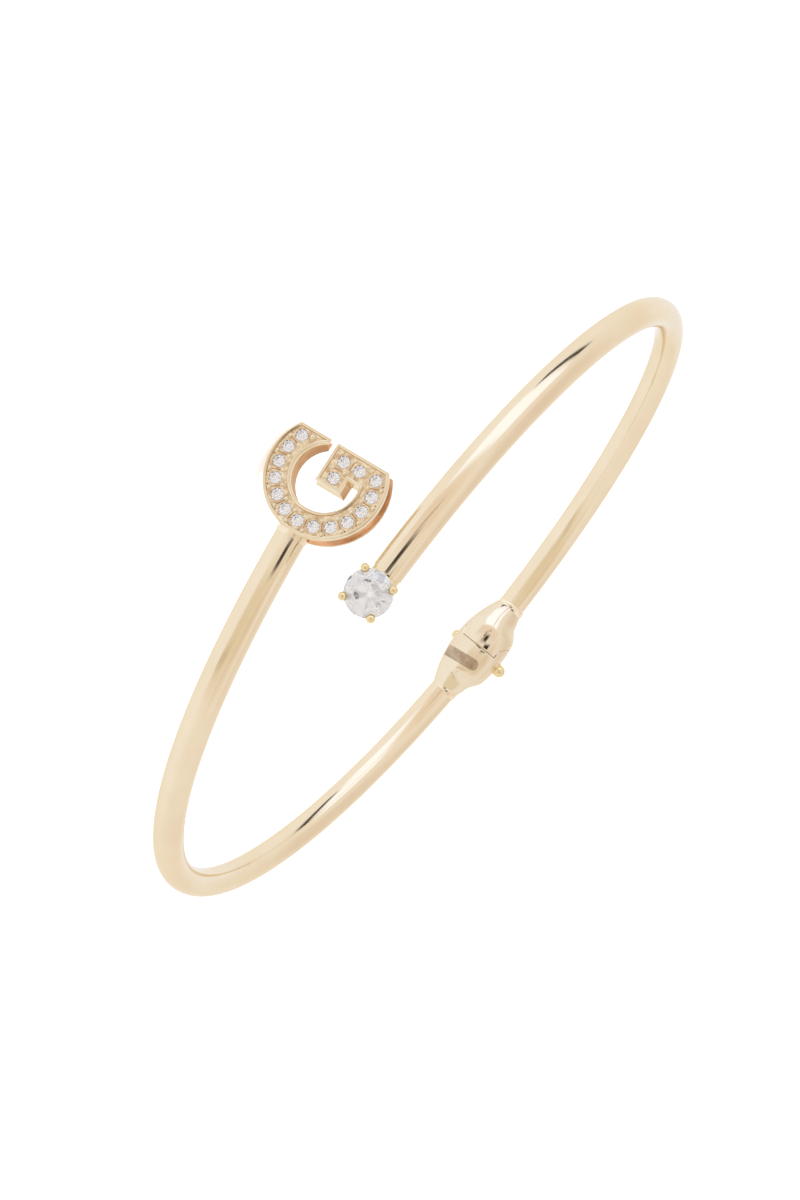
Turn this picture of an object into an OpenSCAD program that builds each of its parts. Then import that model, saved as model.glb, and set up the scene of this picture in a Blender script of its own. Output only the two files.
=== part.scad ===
// Hinged bypass bangle of round gold tube. One arm ends in a pave set capital initial, the
// other in a round stone held by four claws, and the two arms turn on a barrel hinge at the back.
// The bangle is drawn on its own axes (hinge at the back, front ends towards -Y, Z along the
// hinge pin) and is then laid down as it comes to rest on its side.

/* [Bangle] */
// Half width of the oval, to the middle of the tube
oval_half_width = 30.1; // [28:0.1:33]
// Half depth of the oval from hinge to front, to the middle of the tube
oval_half_depth = 25.15; // [23:0.05:28]
// Squareness of the oval: 1 is an ellipse, less is squarer
oval_power = 0.97; // [0.9:0.01:1]
// Outside diameter of the tube
tube_d = 2.46; // [2.3:0.02:2.6]
// Distance that the initial's arm falls below the hinge along the pin's direction
initial_arm_drop = 6.25; // [5:0.05:8]
// Distance that the stone's arm rises above the hinge along the pin's direction
stone_arm_rise = 1.63; // [0:0.01:3]
// How late the initial's arm leaves the level of the hinge: 1 is a straight ramp
initial_arm_power = 2.35; // [1.5:0.01:3]
// How late the stone's arm leaves the level of the hinge
stone_arm_power = 2.22; // [1.5:0.01:3]
// Angle round the oval at which the initial's arm ends
initial_arm_end = 173.8; // [168:0.1:176]
// Angle round the oval at which the stone's arm ends
stone_arm_end = 181.7; // [178:0.1:184]

/* [Hinge] */
// Half length of the olive shaped barrel
barrel_half_length = 4.7; // [4.2:0.1:5.5]
// Largest radius of the barrel
barrel_r = 2.46; // [2.4:0.02:2.6]
// Radius of the barrel where it meets the tube
barrel_neck_r = 1.38; // [1.38:0.01:1.5]
// Height of the barrel's axis above the middle of the tube
barrel_rise = 0.14; // [0:0.01:0.15]
// Distance of the seam from the barrel's middle, towards the stone's arm
seam_offset = 0.22; // [0:0.02:0.4]
// Distance of the pin from the barrel's middle, towards the initial's arm
pin_offset = 0.2; // [0:0.02:0.4]
// Height of the tongue's middle above the middle of the tube
tongue_rise = 0.35; // [0:0.05:0.4]
// Diameter of the pin
pin_d = 0.8; // [0.6:0.05:1]
// Radius of the ball at the pin's upper end
upper_head_r = 0.57; // [0.45:0.01:0.65]
// Radius of the ball at the pin's lower end
lower_head_r = 0.45; // [0.42:0.01:0.55]
// Height of the pin's upper end above the middle of the tube
pin_top = 3.62; // [3.5:0.02:3.8]
// Depth of the pin's lower end below the middle of the tube
pin_bottom = 2.7; // [2.6:0.02:3]
// Half thickness of the tongue between the fork's ears
tongue_half = 1.7; // [1.5:0.05:1.8]
// Radius of the tongue's knuckle round the pin
knuckle_r = 1.2; // [1:0.05:1.3]
// Radius of the fork's ears round the pin
ear_r = 1.85; // [1.7:0.05:2]
// Clearance between the two halves of the barrel
hinge_gap = 0.05; // [0.03:0.01:0.08]
// Clearance between the pin and the tongue, on the radius
pin_play = 0.03; // [0.02:0.01:0.05]
// Angle that the hinge opens
opening_angle = 35; // [20:1:40]

/* [Initial] */
// Outer radius of the initial
initial_r = 4.7; // [4.4:0.1:5.2]
// Inner radius of its curved stroke
initial_bore_r = 2.62; // [2.5:0.02:2.8]
// Distance of its flat right side from the middle
initial_flat = 2.7; // [2.5:0.05:2.8]
// Height of the bar's upper edge above the middle
bar_top = 0.6; // [0.5:0.05:0.8]
// Depth of the bar's lower edge below the middle
bar_bottom = 1.5; // [1.4:0.05:1.6]
// Distance of the bar's free end left of the middle
bar_end = 0.5; // [0.4:0.05:0.6]
// Distance of the stem's inner edge right of the middle
stem_edge = 0.65; // [0.6:0.05:0.8]
// Height of the upper stroke's tip above the middle
tip_height = 1.15; // [1.1:0.05:1.3]
// Distance that the slot between the bar and the tip climbs from the face to the back
slot_slant = 0.4; // [0:0.05:0.5]
// Height of the face above the middle of the tube
initial_top = 1.3; // [1.2:0.05:1.4]
// Depth of the back below the middle of the tube
initial_bottom = 1.15; // [1.1:0.05:1.2]
// Thickness of the two flanges of the side wall
flange_t = 0.5; // [0.4:0.05:0.6]
// Depth of the groove between the two flanges
groove_depth = 0.35; // [0.2:0.05:0.4]
// Width of the raised rim round the stones
rim_w = 0.26; // [0.2:0.02:0.3]
// Depth of the stones' bed below the rim
bed_depth = 0.12; // [0.08:0.01:0.2]
// Length of the round boss that the tube is soldered to
boss_length = 0.35; // [0.2:0.05:0.5]
// Diameter of the bosses on the initial and on the stone's setting
boss_d = 2.3; // [2.1:0.05:2.3]
// Distance of the boss above the initial's middle line
boss_height = 0.13; // [0:0.01:0.5]
// Lean of the initial in its own plane, square to the slanting arm
initial_turn = 7.7; // [5:0.1:10]
// Turn of the initial's face round the bangle
initial_yaw = -3.5; // [-6:0.1:0]

/* [Pave stones] */
// Diameter of the small stones
pave_d = 0.94; // [0.8:0.02:1]
// Number of stones round the curved stroke
pave_arc_count = 13; // [11:1:14]
// Angle of the first stone in the curved stroke
pave_arc_start = 61; // [58:1:64]
// Angle of the last stone in the curved stroke
pave_arc_end = 297; // [294:1:298]
// Distance between the stones of the stem and the bar
pave_pitch = 1.38; // [1.3:0.02:1.44]
// Diameter of the grains of metal that hold the stones
grain_d = 0.3; // [0.24:0.02:0.34]

/* [Solitaire] */
// Diameter of the round stone
solitaire_d = 3.7; // [3.5:0.1:4]
// Height of the stone's girdle above the middle of the tube
girdle_height = 1.45; // [1.3:0.05:1.6]
// Distance of the stone's middle from the end of the tube
solitaire_reach = 1.93; // [1.9:0.01:2.2]
// Tilt of the stone towards the pin's upper end
solitaire_pitch = 8; // [0:1:12]
// Turn of the stone's face round the bangle
solitaire_yaw = 3; // [0:1:6]
// Diameter of the claws
claw_d = 0.46; // [0.4:0.02:0.5]
// Diameter of the claws' ball tips
claw_tip_d = 0.7; // [0.6:0.02:0.8]

/* [Resting] */
// Tilt of the front up from the table, where it lies on the initial's edge
rest_pitch = -9.53; // [-12:0.01:0]
// Roll on to the initial's arm
rest_roll = 6.27; // [0:0.01:12]
// Height of the oval's middle above the table
rest_height = 6.77; // [5:0.01:10]
// Place of the oval's middle to the right of the origin
rest_x = 0.05; // [-2:0.01:2]
// Place of the oval's middle behind the origin
rest_y = 0.25; // [-2:0.01:2]

/* [Hidden] */

gold = [0.93, 0.76, 0.47];
white_stone = [0.90, 0.90, 0.94];
tube_sides = 24;
tube_rings = 48;
far = 20;
fn_fine = 96;
fn_small = 32;

// Angle round the oval at which the tubes leave the barrel, and the height of the barrel's axis there
neck_angle = asin(pow(barrel_half_length / oval_half_width, 1 / oval_power));
barrel_y = oval_half_depth * pow(cos(neck_angle), oval_power);
barrel_arc_r = (pow(barrel_half_length, 2) + pow(barrel_r - barrel_neck_r, 2))
    / (2 * (barrel_r - barrel_neck_r));

// Half angle of the notch on the barrel's outer side, which closes as the bangle opens
relief_angle = opening_angle / 2 + 1;

// Heights in the initial, from the middle of the tube
bed_top = initial_top - bed_depth;
pave_r = (initial_r + initial_bore_r) / 2 + 0.1;
stem_x = (initial_flat + stem_edge) / 2;
bar_y = (bar_top - bar_bottom) / 2 - 0.08;

// Proportions of a round cut stone, as parts of its diameter
table_part = 0.56;
star_part = 0.76;
crown_part = 0.15;
girdle_part = 0.03;
pavilion_part = 0.43;

function unit(v) = v / norm(v);
function signed_power(x, p) = sign(x) * pow(abs(x), p);

// Middle line of an arm: side is 1 for the initial's arm and -1 for the stone's, t runs from the hinge
function arm_height(side, t) =
    side > 0 ? -initial_arm_drop * pow(t / 180, initial_arm_power)
    : stone_arm_rise * pow(t / 180, stone_arm_power);
function arm_point(side, t) = [
    side * oval_half_width * signed_power(sin(t), oval_power),
    oval_half_depth * signed_power(cos(t), oval_power),
    arm_height(side, t)];
function arm_direction(side, t) = unit(arm_point(side, t + 0.1) - arm_point(side, t - 0.1));

// Directions of the initial and of the solitaire: right along the arm, up across it, out from the wrist
function turn_z(v, a) = [v[0] * cos(a) - v[1] * sin(a), v[0] * sin(a) + v[1] * cos(a), v[2]];
initial_right = turn_z([-cos(initial_turn), 0, -sin(initial_turn)], initial_yaw);
initial_up = turn_z([sin(initial_turn), 0, -cos(initial_turn)], initial_yaw);
initial_middle = arm_point(1, initial_arm_end)
    + (initial_r + boss_length) * initial_right - boss_height * initial_up;
solitaire_right = turn_z([1, 0, 0], solitaire_yaw);
solitaire_middle = arm_point(-1, stone_arm_end) + solitaire_reach * solitaire_right;

// Places of the sixteen small stones in the initial
function pave_angle(i) =
    pave_arc_start + i * (pave_arc_end - pave_arc_start) / (pave_arc_count - 1);
pave_places = concat(
    [for (i = [0:pave_arc_count - 1]) pave_r * [cos(pave_angle(i)), sin(pave_angle(i))]],
    [[stem_x, bar_y - pave_pitch], [stem_x, bar_y], [stem_x - pave_pitch, bar_y]]);

// Places of the grains of metal between the stones: two in each gap and at each free end
grain_offset = 0.5;
function arc_grains(a) = [for (r = [pave_r - grain_offset, pave_r + grain_offset]) r * [cos(a), sin(a)]];
grain_places = concat(
    [for (i = [0:pave_arc_count - 2]) each arc_grains((pave_angle(i) + pave_angle(i + 1)) / 2)],
    [(pave_r - grain_offset) * [cos(pave_arc_start - 11), sin(pave_arc_start - 11)]],
    [for (x = [-grain_offset, grain_offset]) [stem_x + x, bar_y - pave_pitch / 2]],
    [for (y = [-grain_offset, grain_offset]) [stem_x - pave_pitch / 2, bar_y + y]],
    [for (y = [-grain_offset, grain_offset]) [stem_x - 1.4 * pave_pitch, bar_y + y]],
    [[stem_x + grain_offset, bar_y + grain_offset], [stem_x + grain_offset, -pave_r * 0.72]]);

// Lays the bangle down as it rests on its side
module laid_down() {
    translate([rest_x, rest_y, rest_height]) rotate([rest_pitch, rest_roll, 0]) children();
}

// Places a shape on the initial: x right, y up, z out from the wrist
module on_initial() {
    translate(initial_middle)
        rotate([0, 0, initial_yaw])
            rotate([-90, 0, 180])
                rotate([0, 0, initial_turn])
                    children();
}

// Places a shape on the solitaire: x away from the arm, z out from the wrist
module on_solitaire() {
    translate(solitaire_middle)
        rotate([90 - solitaire_pitch, 0, solitaire_yaw])
            children();
}

// Places a shape on the hinge pin, level with the middle of the tongue
module on_pin() {
    translate([pin_offset, barrel_y, tongue_rise]) children();
}

// Ring of points round a centre, square to a direction
function ring(centre, along, r) =
    let (out = unit(cross(along, [0, 0, 1])), up = cross(out, along))
    [for (i = [0:tube_sides - 1])
        centre + r * (cos(360 * i / tube_sides) * out + sin(360 * i / tube_sides) * up)];

// Round tube along one arm, its two end faces square to the pieces that it is soldered to
module swept_arm(side, t_end, first_along, last_along) {
    rings = [for (k = [0:tube_rings])
        let (t = neck_angle + (t_end - neck_angle) * k / tube_rings,
            along = k == 0 ? first_along : k == tube_rings ? last_along : arm_direction(side, t))
        ring(arm_point(side, t) - (k == 0 ? [0, 0, arm_height(side, t)] : [0, 0, 0]),
            along, tube_d / 2)];
    quads = [for (k = [0:tube_rings - 1], i = [0:tube_sides - 1])
        let (j = (i + 1) % tube_sides, a = k * tube_sides, b = a + tube_sides)
        [a + i, a + j, b + j, b + i]];
    first_cap = [[for (i = [tube_sides - 1:-1:0]) i]];
    last_cap = [[for (i = [0:tube_sides - 1]) tube_rings * tube_sides + i]];
    polyhedron(points = [for (r = rings) each r],
        faces = concat([for (q = quads) each [[q[0], q[1], q[2]], [q[0], q[2], q[3]]]],
            first_cap, last_cap));
}

module initial_arm() {
    color(gold) swept_arm(1, initial_arm_end, [1, 0, 0], initial_right);
}

module stone_arm() {
    color(gold) swept_arm(-1, stone_arm_end, [-1, 0, 0], solitaire_right);
}

// Olive shaped barrel, whose axis lies along the tubes
module barrel() {
    translate([0, barrel_y, barrel_rise]) rotate([0, 90, 0])
        rotate_extrude($fn = fn_fine) intersection() {
            translate([barrel_r - barrel_arc_r, 0]) circle(r = barrel_arc_r, $fn = 4 * fn_fine);
            translate([0, -barrel_half_length]) square([barrel_r, 2 * barrel_half_length]);
        }
}

// Everything on one side of a plane that holds the pin's line and faces an angle from +X
module half_space(angle) {
    rotate([0, 0, angle]) translate([0, -far, -far]) cube([2 * far, 2 * far, 2 * far]);
}

// Wedge about the pin's line between two angles less than 180 apart
module wedge(from_angle, to_angle) {
    intersection() {
        half_space(from_angle + 90);
        half_space(to_angle - 90);
    }
}

// The half of the barrel on the initial's arm: a hollow shell with an ear at each end of the pin
module hinge_fork() {
    ear_inner = tongue_half + hinge_gap;
    color(gold) difference() {
        intersection() {
            barrel();
            union() {
                translate([hinge_gap / 2 - seam_offset, barrel_y - far, -far])
                    cube([far, 2 * far, 2 * far]);
                on_pin() cylinder(r = ear_r, h = 2 * far, center = true, $fn = fn_fine);
            }
        }
        // Room for the tongue's knuckle and shell between the ears
        on_pin() cylinder(r = knuckle_r + hinge_gap, h = 2 * ear_inner, center = true, $fn = fn_fine);
        translate([-far + hinge_gap / 2 - seam_offset, barrel_y - far, tongue_rise - ear_inner])
            cube([far, 2 * far, 2 * ear_inner]);
        // The outer side is cut back, all but the ears, so that the barrel can open
        on_pin() difference() {
            wedge(90 - relief_angle, 180);
            for (s = [-1, 1]) translate([0, 0, s * (ear_inner + far)])
                cylinder(r = ear_r, h = 2 * far, center = true, $fn = fn_fine);
        }
        on_pin() cylinder(d = pin_d, h = 2 * far, center = true, $fn = fn_small);
    }
}

// The half of the barrel on the stone's arm: a shell with a tongue that turns on the pin
module hinge_tongue() {
    color(gold) difference() {
        union() {
            difference() {
                intersection() {
                    barrel();
                    translate([-far - hinge_gap / 2 - seam_offset, barrel_y - far, -far])
                        cube([far, 2 * far, 2 * far]);
                }
                // Room for the fork's ears
                for (s = [-1, 1])
                    on_pin() translate([0, 0, s * (tongue_half + far)])
                        cylinder(r = ear_r + hinge_gap, h = 2 * far, center = true, $fn = fn_fine);
                // The outer side is cut back so that the barrel can open
                on_pin() wedge(0, 90 + relief_angle);
            }
            intersection() {
                barrel();
                on_pin() cylinder(r = knuckle_r, h = 2 * tongue_half, center = true, $fn = fn_fine);
            }
        }
        on_pin() cylinder(r = pin_d / 2 + pin_play, h = 2 * far, center = true, $fn = fn_small);
    }
}

// Ball at an end of the pin, cut flat where it meets the barrel
module pin_head(r, reach, foot) {
    intersection() {
        translate([0, 0, reach - r]) sphere(r = r, $fn = fn_small);
        translate([-1, -1, foot]) cube([2, 2, 2]);
    }
}

// Pin with a round head at each end
module hinge_pin() {
    head_play = 0.01;
    shaft_foot = pin_bottom - 0.65 * lower_head_r;
    color(gold) translate([pin_offset, barrel_y, 0]) {
        translate([0, 0, -shaft_foot])
            cylinder(d = pin_d, h = pin_top - upper_head_r + shaft_foot, $fn = fn_small);
        pin_head(upper_head_r, pin_top, barrel_rise + barrel_r + head_play);
        mirror([0, 0, 1]) pin_head(lower_head_r, pin_bottom, barrel_r - barrel_rise + head_play);
    }
}

// Outline of the initial, drawn in by an inset all round, with the slot lifted
module initial_outline(inset, lift) {
    intersection() {
        circle(r = initial_r - inset, $fn = fn_fine);
        union() {
            difference() {
                translate([-far, -far]) square([far + initial_flat - inset, 2 * far]);
                circle(r = initial_bore_r + inset, $fn = fn_fine);
                translate([0, -far]) square([far, far + tip_height + lift + inset]);
            }
            translate([stem_edge + inset, -far])
                square([initial_flat - stem_edge - 2 * inset, far + bar_top + lift - inset]);
            translate([-bar_end + inset, -bar_bottom + inset])
                square([initial_flat + bar_end - 2 * inset,
                    bar_top + lift + bar_bottom - 2 * inset]);
            difference() {
                translate([0, -far]) square([initial_flat - inset, far - bar_bottom]);
                circle(r = initial_bore_r + inset, $fn = fn_fine);
            }
        }
    }
}

// Round seat under a small stone
module pave_seat() {
    seat_r = pave_d / 2 + 0.02;
    translate([0, 0, -0.5]) cylinder(r1 = seat_r - 0.4, r2 = seat_r, h = 0.5, $fn = fn_small);
    cylinder(r = seat_r, h = 1, $fn = fn_small);
}

// The initial: two flanges with a groove between them, a rim round the stones' bed, and a boss
module initial() {
    height = initial_top + initial_bottom;
    color(gold) on_initial() difference() {
        union() {
            translate([0, 0, -initial_bottom]) linear_extrude(flange_t)
                initial_outline(0, slot_slant);
            translate([0, 0, flange_t / 2 - initial_bottom]) linear_extrude(height - flange_t)
                initial_outline(groove_depth, slot_slant / 2);
            translate([0, 0, initial_top - flange_t]) linear_extrude(flange_t)
                initial_outline(0, 0);
            translate([-initial_r - boss_length, boss_height, 0]) rotate([0, 90, 0])
                cylinder(d = boss_d, h = boss_length + groove_depth + 0.4, $fn = fn_small);
        }
        translate([0, 0, bed_top]) linear_extrude(1) initial_outline(rim_w, 0);
        for (p = pave_places) translate([p[0], p[1], bed_top]) pave_seat();
    }
    color(gold) on_initial() for (p = grain_places)
        translate([p[0], p[1], bed_top]) sphere(d = grain_d, $fn = fn_small);
}

// Round cut stone with a table, eight stars, eight kites and a girdle; z is 0 at the girdle's top
module cut_stone(d) {
    r = d / 2;
    crown = crown_part * d;
    table = [for (i = [0:7]) [r * table_part * cos(45 * i), r * table_part * sin(45 * i), crown]];
    stars = [for (i = [0:7]) [r * star_part * cos(45 * i + 22.5), r * star_part * sin(45 * i + 22.5),
        crown * 0.56]];
    upper = [for (i = [0:15]) [r * cos(22.5 * i), r * sin(22.5 * i), 0]];
    lower = [for (i = [0:15]) [r * cos(22.5 * i), r * sin(22.5 * i), -girdle_part * d]];
    tip = [[0, 0, -(girdle_part + pavilion_part) * d]];
    faces = concat(
        [[for (i = [7:-1:0]) i]],
        [for (i = [0:7]) [i, (i + 1) % 8, 8 + i]],
        [for (i = [0:7]) [i, 8 + i, 16 + 2 * i]],
        [for (i = [0:7]) [i, 16 + 2 * i, 8 + (i + 7) % 8]],
        [for (i = [0:7]) [8 + i, 17 + 2 * i, 16 + 2 * i]],
        [for (i = [0:7]) [8 + i, 16 + (2 * i + 2) % 16, 17 + 2 * i]],
        [for (i = [0:15]) [16 + i, 16 + (i + 1) % 16, 32 + (i + 1) % 16]],
        [for (i = [0:15]) [16 + i, 32 + (i + 1) % 16, 32 + i]],
        [for (i = [0:15]) [48, 32 + i, 32 + (i + 1) % 16]]);
    polyhedron(points = concat(table, stars, upper, lower, tip), faces = faces);
}

// One of the small stones, its girdle level with the bed
module initial_stone(i) {
    color(white_stone) on_initial() translate([pave_places[i][0], pave_places[i][1], bed_top])
        cut_stone(pave_d);
}

// Room taken up by the solitaire in its claws
module solitaire_room() {
    play = 0.02;
    r = solitaire_d / 2 + play;
    top = girdle_height + girdle_part * solitaire_d;
    rotate_extrude($fn = fn_fine) polygon([
        [0, girdle_height - pavilion_part * solitaire_d - play],
        [r, girdle_height - play],
        [r, top + play],
        [table_part * r, top + crown_part * solitaire_d + play],
        [0, top + crown_part * solitaire_d + play]]);
}

// Open conical basket with four claws that end in balls, and the boss for the tube
module solitaire_setting() {
    claw_r = claw_d / 2;
    claw_foot = [1.0, -1.0];
    claw_tip = [solitaire_d / 2 + 0.1, girdle_height + 0.3];
    claw_lean = atan2(claw_tip[0] - claw_foot[0], claw_tip[1] - claw_foot[1]);
    wall_foot = -tube_d / 2;
    wall_top = girdle_height - 0.3;
    color(gold) on_solitaire() difference() {
        union() {
            rotate_extrude($fn = fn_fine)
                polygon([[0.65, wall_foot], [0.95, wall_foot], [1.85, wall_top], [1.55, wall_top]]);
            for (a = [45:90:315]) rotate([0, 0, a]) {
                translate([claw_foot[0], 0, claw_foot[1]]) rotate([0, claw_lean, 0])
                    cylinder(r = claw_r, h = norm(claw_tip - claw_foot), $fn = fn_small);
                translate([claw_tip[0] - 0.09, 0, claw_tip[1] + 0.08])
                    sphere(d = claw_tip_d, $fn = fn_small);
            }
            difference() {
                translate([-solitaire_reach, 0, 0]) rotate([0, 90, 0])
                    cylinder(d = boss_d, h = solitaire_reach, $fn = fn_small);
                rotate_extrude($fn = fn_fine)
                    polygon([[0, wall_foot - 1], [0.42, wall_foot - 1], [1.7, wall_top],
                        [1.7, wall_top + 1], [0, wall_top + 1]]);
            }
        }
        solitaire_room();
    }
}

module solitaire() {
    color(white_stone) on_solitaire()
        translate([0, 0, girdle_height + girdle_part * solitaire_d]) cut_stone(solitaire_d);
}

laid_down() initial_arm();
laid_down() stone_arm();
laid_down() hinge_fork();
laid_down() hinge_tongue();
laid_down() hinge_pin();
laid_down() initial();
laid_down() initial_stone(0);  // initial_stone_01
laid_down() initial_stone(1);  // initial_stone_02
laid_down() initial_stone(2);  // initial_stone_03
laid_down() initial_stone(3);  // initial_stone_04
laid_down() initial_stone(4);  // initial_stone_05
laid_down() initial_stone(5);  // initial_stone_06
laid_down() initial_stone(6);  // initial_stone_07
laid_down() initial_stone(7);  // initial_stone_08
laid_down() initial_stone(8);  // initial_stone_09
laid_down() initial_stone(9);  // initial_stone_10
laid_down() initial_stone(10);  // initial_stone_11
laid_down() initial_stone(11);  // initial_stone_12
laid_down() initial_stone(12);  // initial_stone_13
laid_down() initial_stone(13);  // initial_stone_14
laid_down() initial_stone(14);  // initial_stone_15
laid_down() initial_stone(15);  // initial_stone_16
laid_down() solitaire_setting();
laid_down() solitaire();
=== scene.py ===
# %% [markdown]
# # A hinged bangle with an initial
#
# The real object is a thin round tube of pale gold, bent into an oval that opens on a small
# barrel hinge at the back. One end carries a capital letter set with small stones, the other end
# a single round stone in four claws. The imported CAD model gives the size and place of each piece.
# This script gives the same pieces their polish, their soft edges and their cut stones.

import math

import bmesh
import bpy
from mathutils import Matrix, Vector, noise
from mathutils.bvhtree import BVHTree


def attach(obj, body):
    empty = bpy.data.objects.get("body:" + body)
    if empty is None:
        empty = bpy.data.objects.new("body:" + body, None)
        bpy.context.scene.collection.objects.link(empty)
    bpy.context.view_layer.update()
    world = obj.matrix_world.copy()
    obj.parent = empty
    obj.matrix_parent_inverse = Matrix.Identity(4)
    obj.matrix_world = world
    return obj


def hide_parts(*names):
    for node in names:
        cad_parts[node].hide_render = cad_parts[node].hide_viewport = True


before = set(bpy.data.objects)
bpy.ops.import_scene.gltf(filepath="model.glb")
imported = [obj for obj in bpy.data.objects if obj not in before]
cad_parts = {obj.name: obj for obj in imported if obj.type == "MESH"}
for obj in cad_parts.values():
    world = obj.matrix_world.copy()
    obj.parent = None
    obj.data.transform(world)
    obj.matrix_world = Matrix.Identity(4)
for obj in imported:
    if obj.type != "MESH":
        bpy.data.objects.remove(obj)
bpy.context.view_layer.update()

# %% [markdown]
# ## One place for everything
#
# A jeweller measures in millimetres, with the hinge pin upright. The bangle itself lies on its
# side, a little tilted, because three points touch the table. So each piece is modelled in
# millimetres round the middle of the oval, and one matrix lays it down and turns it into metres.
# The finished mesh holds its own place, and its object stays at the origin.

# %% From the bench to the table
MILLIMETRE = 0.001
REST_PITCH, REST_ROLL = math.radians(-9.53), math.radians(6.27)
REST_MIDDLE = Vector((0.05, 0.25, 6.77))

laid_down = (Matrix.Translation(REST_MIDDLE)
             @ Matrix.Rotation(REST_ROLL, 4, "Y")
             @ Matrix.Rotation(REST_PITCH, 4, "X"))
bench_to_table = Matrix.Scale(MILLIMETRE, 4) @ laid_down


def table_point(point):
    """A point of the bench, in millimetres, where it ends up on the table, in metres."""
    return bench_to_table @ Vector(point)


print("middle of the oval on the table", [round(x, 4) for x in table_point((0, 0, 0))])

# %% [markdown]
# ## The camera
#
# The photograph looks through the oval from the front, a little from above, and the picture is
# turned so that the hinge is at the lower right. The camera stands 224 mm from the middle of
# the oval. Its right and up directions are turned about the line of sight, and a small shift
# puts the middle of the oval a little to the right of the picture's middle.

# %% Camera
def add_object(name, data):
    """A new object in the scene, at the origin."""
    made = bpy.data.objects.new(name, data)
    bpy.context.scene.collection.objects.link(made)
    return made


PICTURE_HEIGHT = 1200
SIGHT_DISTANCE = 224.0
SIGHT_ROUND, SIGHT_RISE, PICTURE_TURN = 0.025, 0.227, 2.249
PIXELS_PER_MM = 12.202
OVAL_RIGHT_PX, OVAL_DOWN_PX = 33.41, 4.25

back = Vector((math.sin(SIGHT_ROUND) * math.cos(SIGHT_RISE),
               -math.cos(SIGHT_ROUND) * math.cos(SIGHT_RISE),
               math.sin(SIGHT_RISE)))
level = Vector((math.cos(SIGHT_ROUND), math.sin(SIGHT_ROUND), 0))
rise = back.cross(level)
picture_right = math.cos(PICTURE_TURN) * level + math.sin(PICTURE_TURN) * rise
picture_up = -math.sin(PICTURE_TURN) * level + math.cos(PICTURE_TURN) * rise

lens_data = bpy.data.cameras.new("camera")
camera = add_object("camera", lens_data)
turned = laid_down.to_3x3() @ Matrix((picture_right, picture_up, back)).transposed()
camera.matrix_world = (Matrix.Translation(table_point(SIGHT_DISTANCE * back))
                       @ turned.to_4x4())
lens_data.sensor_fit = "VERTICAL"
lens_data.sensor_height = 36.0
lens_data.lens = PIXELS_PER_MM * SIGHT_DISTANCE / PICTURE_HEIGHT * lens_data.sensor_height
lens_data.shift_x = -OVAL_RIGHT_PX / PICTURE_HEIGHT
lens_data.shift_y = OVAL_DOWN_PX / PICTURE_HEIGHT
lens_data.clip_start = 0.01
bpy.context.scene.camera = camera
print("lens", round(lens_data.lens, 1), "mm, camera height", round(camera.location.z * 1000), "mm")

# %% [markdown]
# ## Node helpers
#
# Every material below is a small tree of nodes. A few helpers keep the trees readable: they make
# a node and fill in its sockets, mix two colours, start a material, and start a group with named
# inputs and outputs, for an effect that more than one material uses.

# %% Helpers for nodes
FLOAT, COLOUR, VECTOR = "NodeSocketFloat", "NodeSocketColor", "NodeSocketVector"


def fill_inputs(tree, node, inputs):
    """Values are set on the node's own sockets, and other nodes' output sockets are linked."""
    for key, value in inputs.items():
        if isinstance(value, bpy.types.NodeSocket):
            tree.links.new(value, node.inputs[key])
        else:
            node.inputs[key].default_value = value


def add_node(tree, kind, inputs=None, **settings):
    node = tree.nodes.new(kind)
    for name, value in settings.items():
        setattr(node, name, value)
    fill_inputs(tree, node, inputs or {})
    return node


def add_maths(tree, operation, first, second=0.0):
    return add_node(tree, "ShaderNodeMath", {0: first, 1: second},
                    operation=operation).outputs[0]


def mix_colours(tree, factor, first, second):
    """A colour between two colours. A factor of 0 gives the first, and 1 the second."""
    return add_node(tree, "ShaderNodeMix", {"Factor": factor, "A": first, "B": second},
                    data_type="RGBA").outputs["Result"]


def object_place(tree):
    return add_node(tree, "ShaderNodeTexCoord").outputs["Object"]


def new_material(name):
    """A material, its tree and its Principled shader."""
    material = bpy.data.materials.new(name)
    material.use_nodes = True
    return material, material.node_tree, material.node_tree.nodes["Principled BSDF"]


def start_group(name, inputs, outputs):
    """A shader node group. Inputs are (name, type, value), outputs are (name, type)."""
    group = bpy.data.node_groups.new(name, "ShaderNodeTree")
    for label, kind, value in inputs:
        socket = group.interface.new_socket(label, in_out="INPUT", socket_type=kind)
        socket.default_value = value
    for label, kind in outputs:
        group.interface.new_socket(label, in_out="OUTPUT", socket_type=kind)
    return group, group.nodes.new("NodeGroupInput"), group.nodes.new("NodeGroupOutput")


# %% [markdown]
# ## The studio
#
# Polished gold has almost no look of its own: it shows the room. The photograph was taken in a
# white light tent, with one brighter opening on the far left and narrow dark gaps in the tent,
# one of them round the lens. Those gaps are the thin dark lines that run along the tube. A group
# makes one soft edged card in the surroundings, and each card gets its own direction and size.
# The camera itself sees plain white, so no card shows behind the bangle. Light that has passed
# through a stone finds the tent paler, as if the stones had been lit once more by themselves.

# %% One card in the surroundings
LEAST_AHEAD = 0.001
card_group, card_in, card_out = start_group(
    "tent_card",
    [("Toward", VECTOR, (0, -1, 0)), ("Side", VECTOR, (1, 0, 0)), ("Top", VECTOR, (0, 0, 1)),
     ("Half Width", FLOAT, 0.1), ("Half Height", FLOAT, 0.2), ("Softness", FLOAT, 0.05)],
    [("Mask", FLOAT)])
looking = add_node(card_group, "ShaderNodeTexCoord").outputs["Generated"]


def part_along(axis):
    """How much of the direction that is looked in lies along one of the card's axes."""
    return add_node(card_group, "ShaderNodeVectorMath", {0: looking, 1: card_in.outputs[axis]},
                    operation="DOT_PRODUCT").outputs["Value"]


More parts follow.
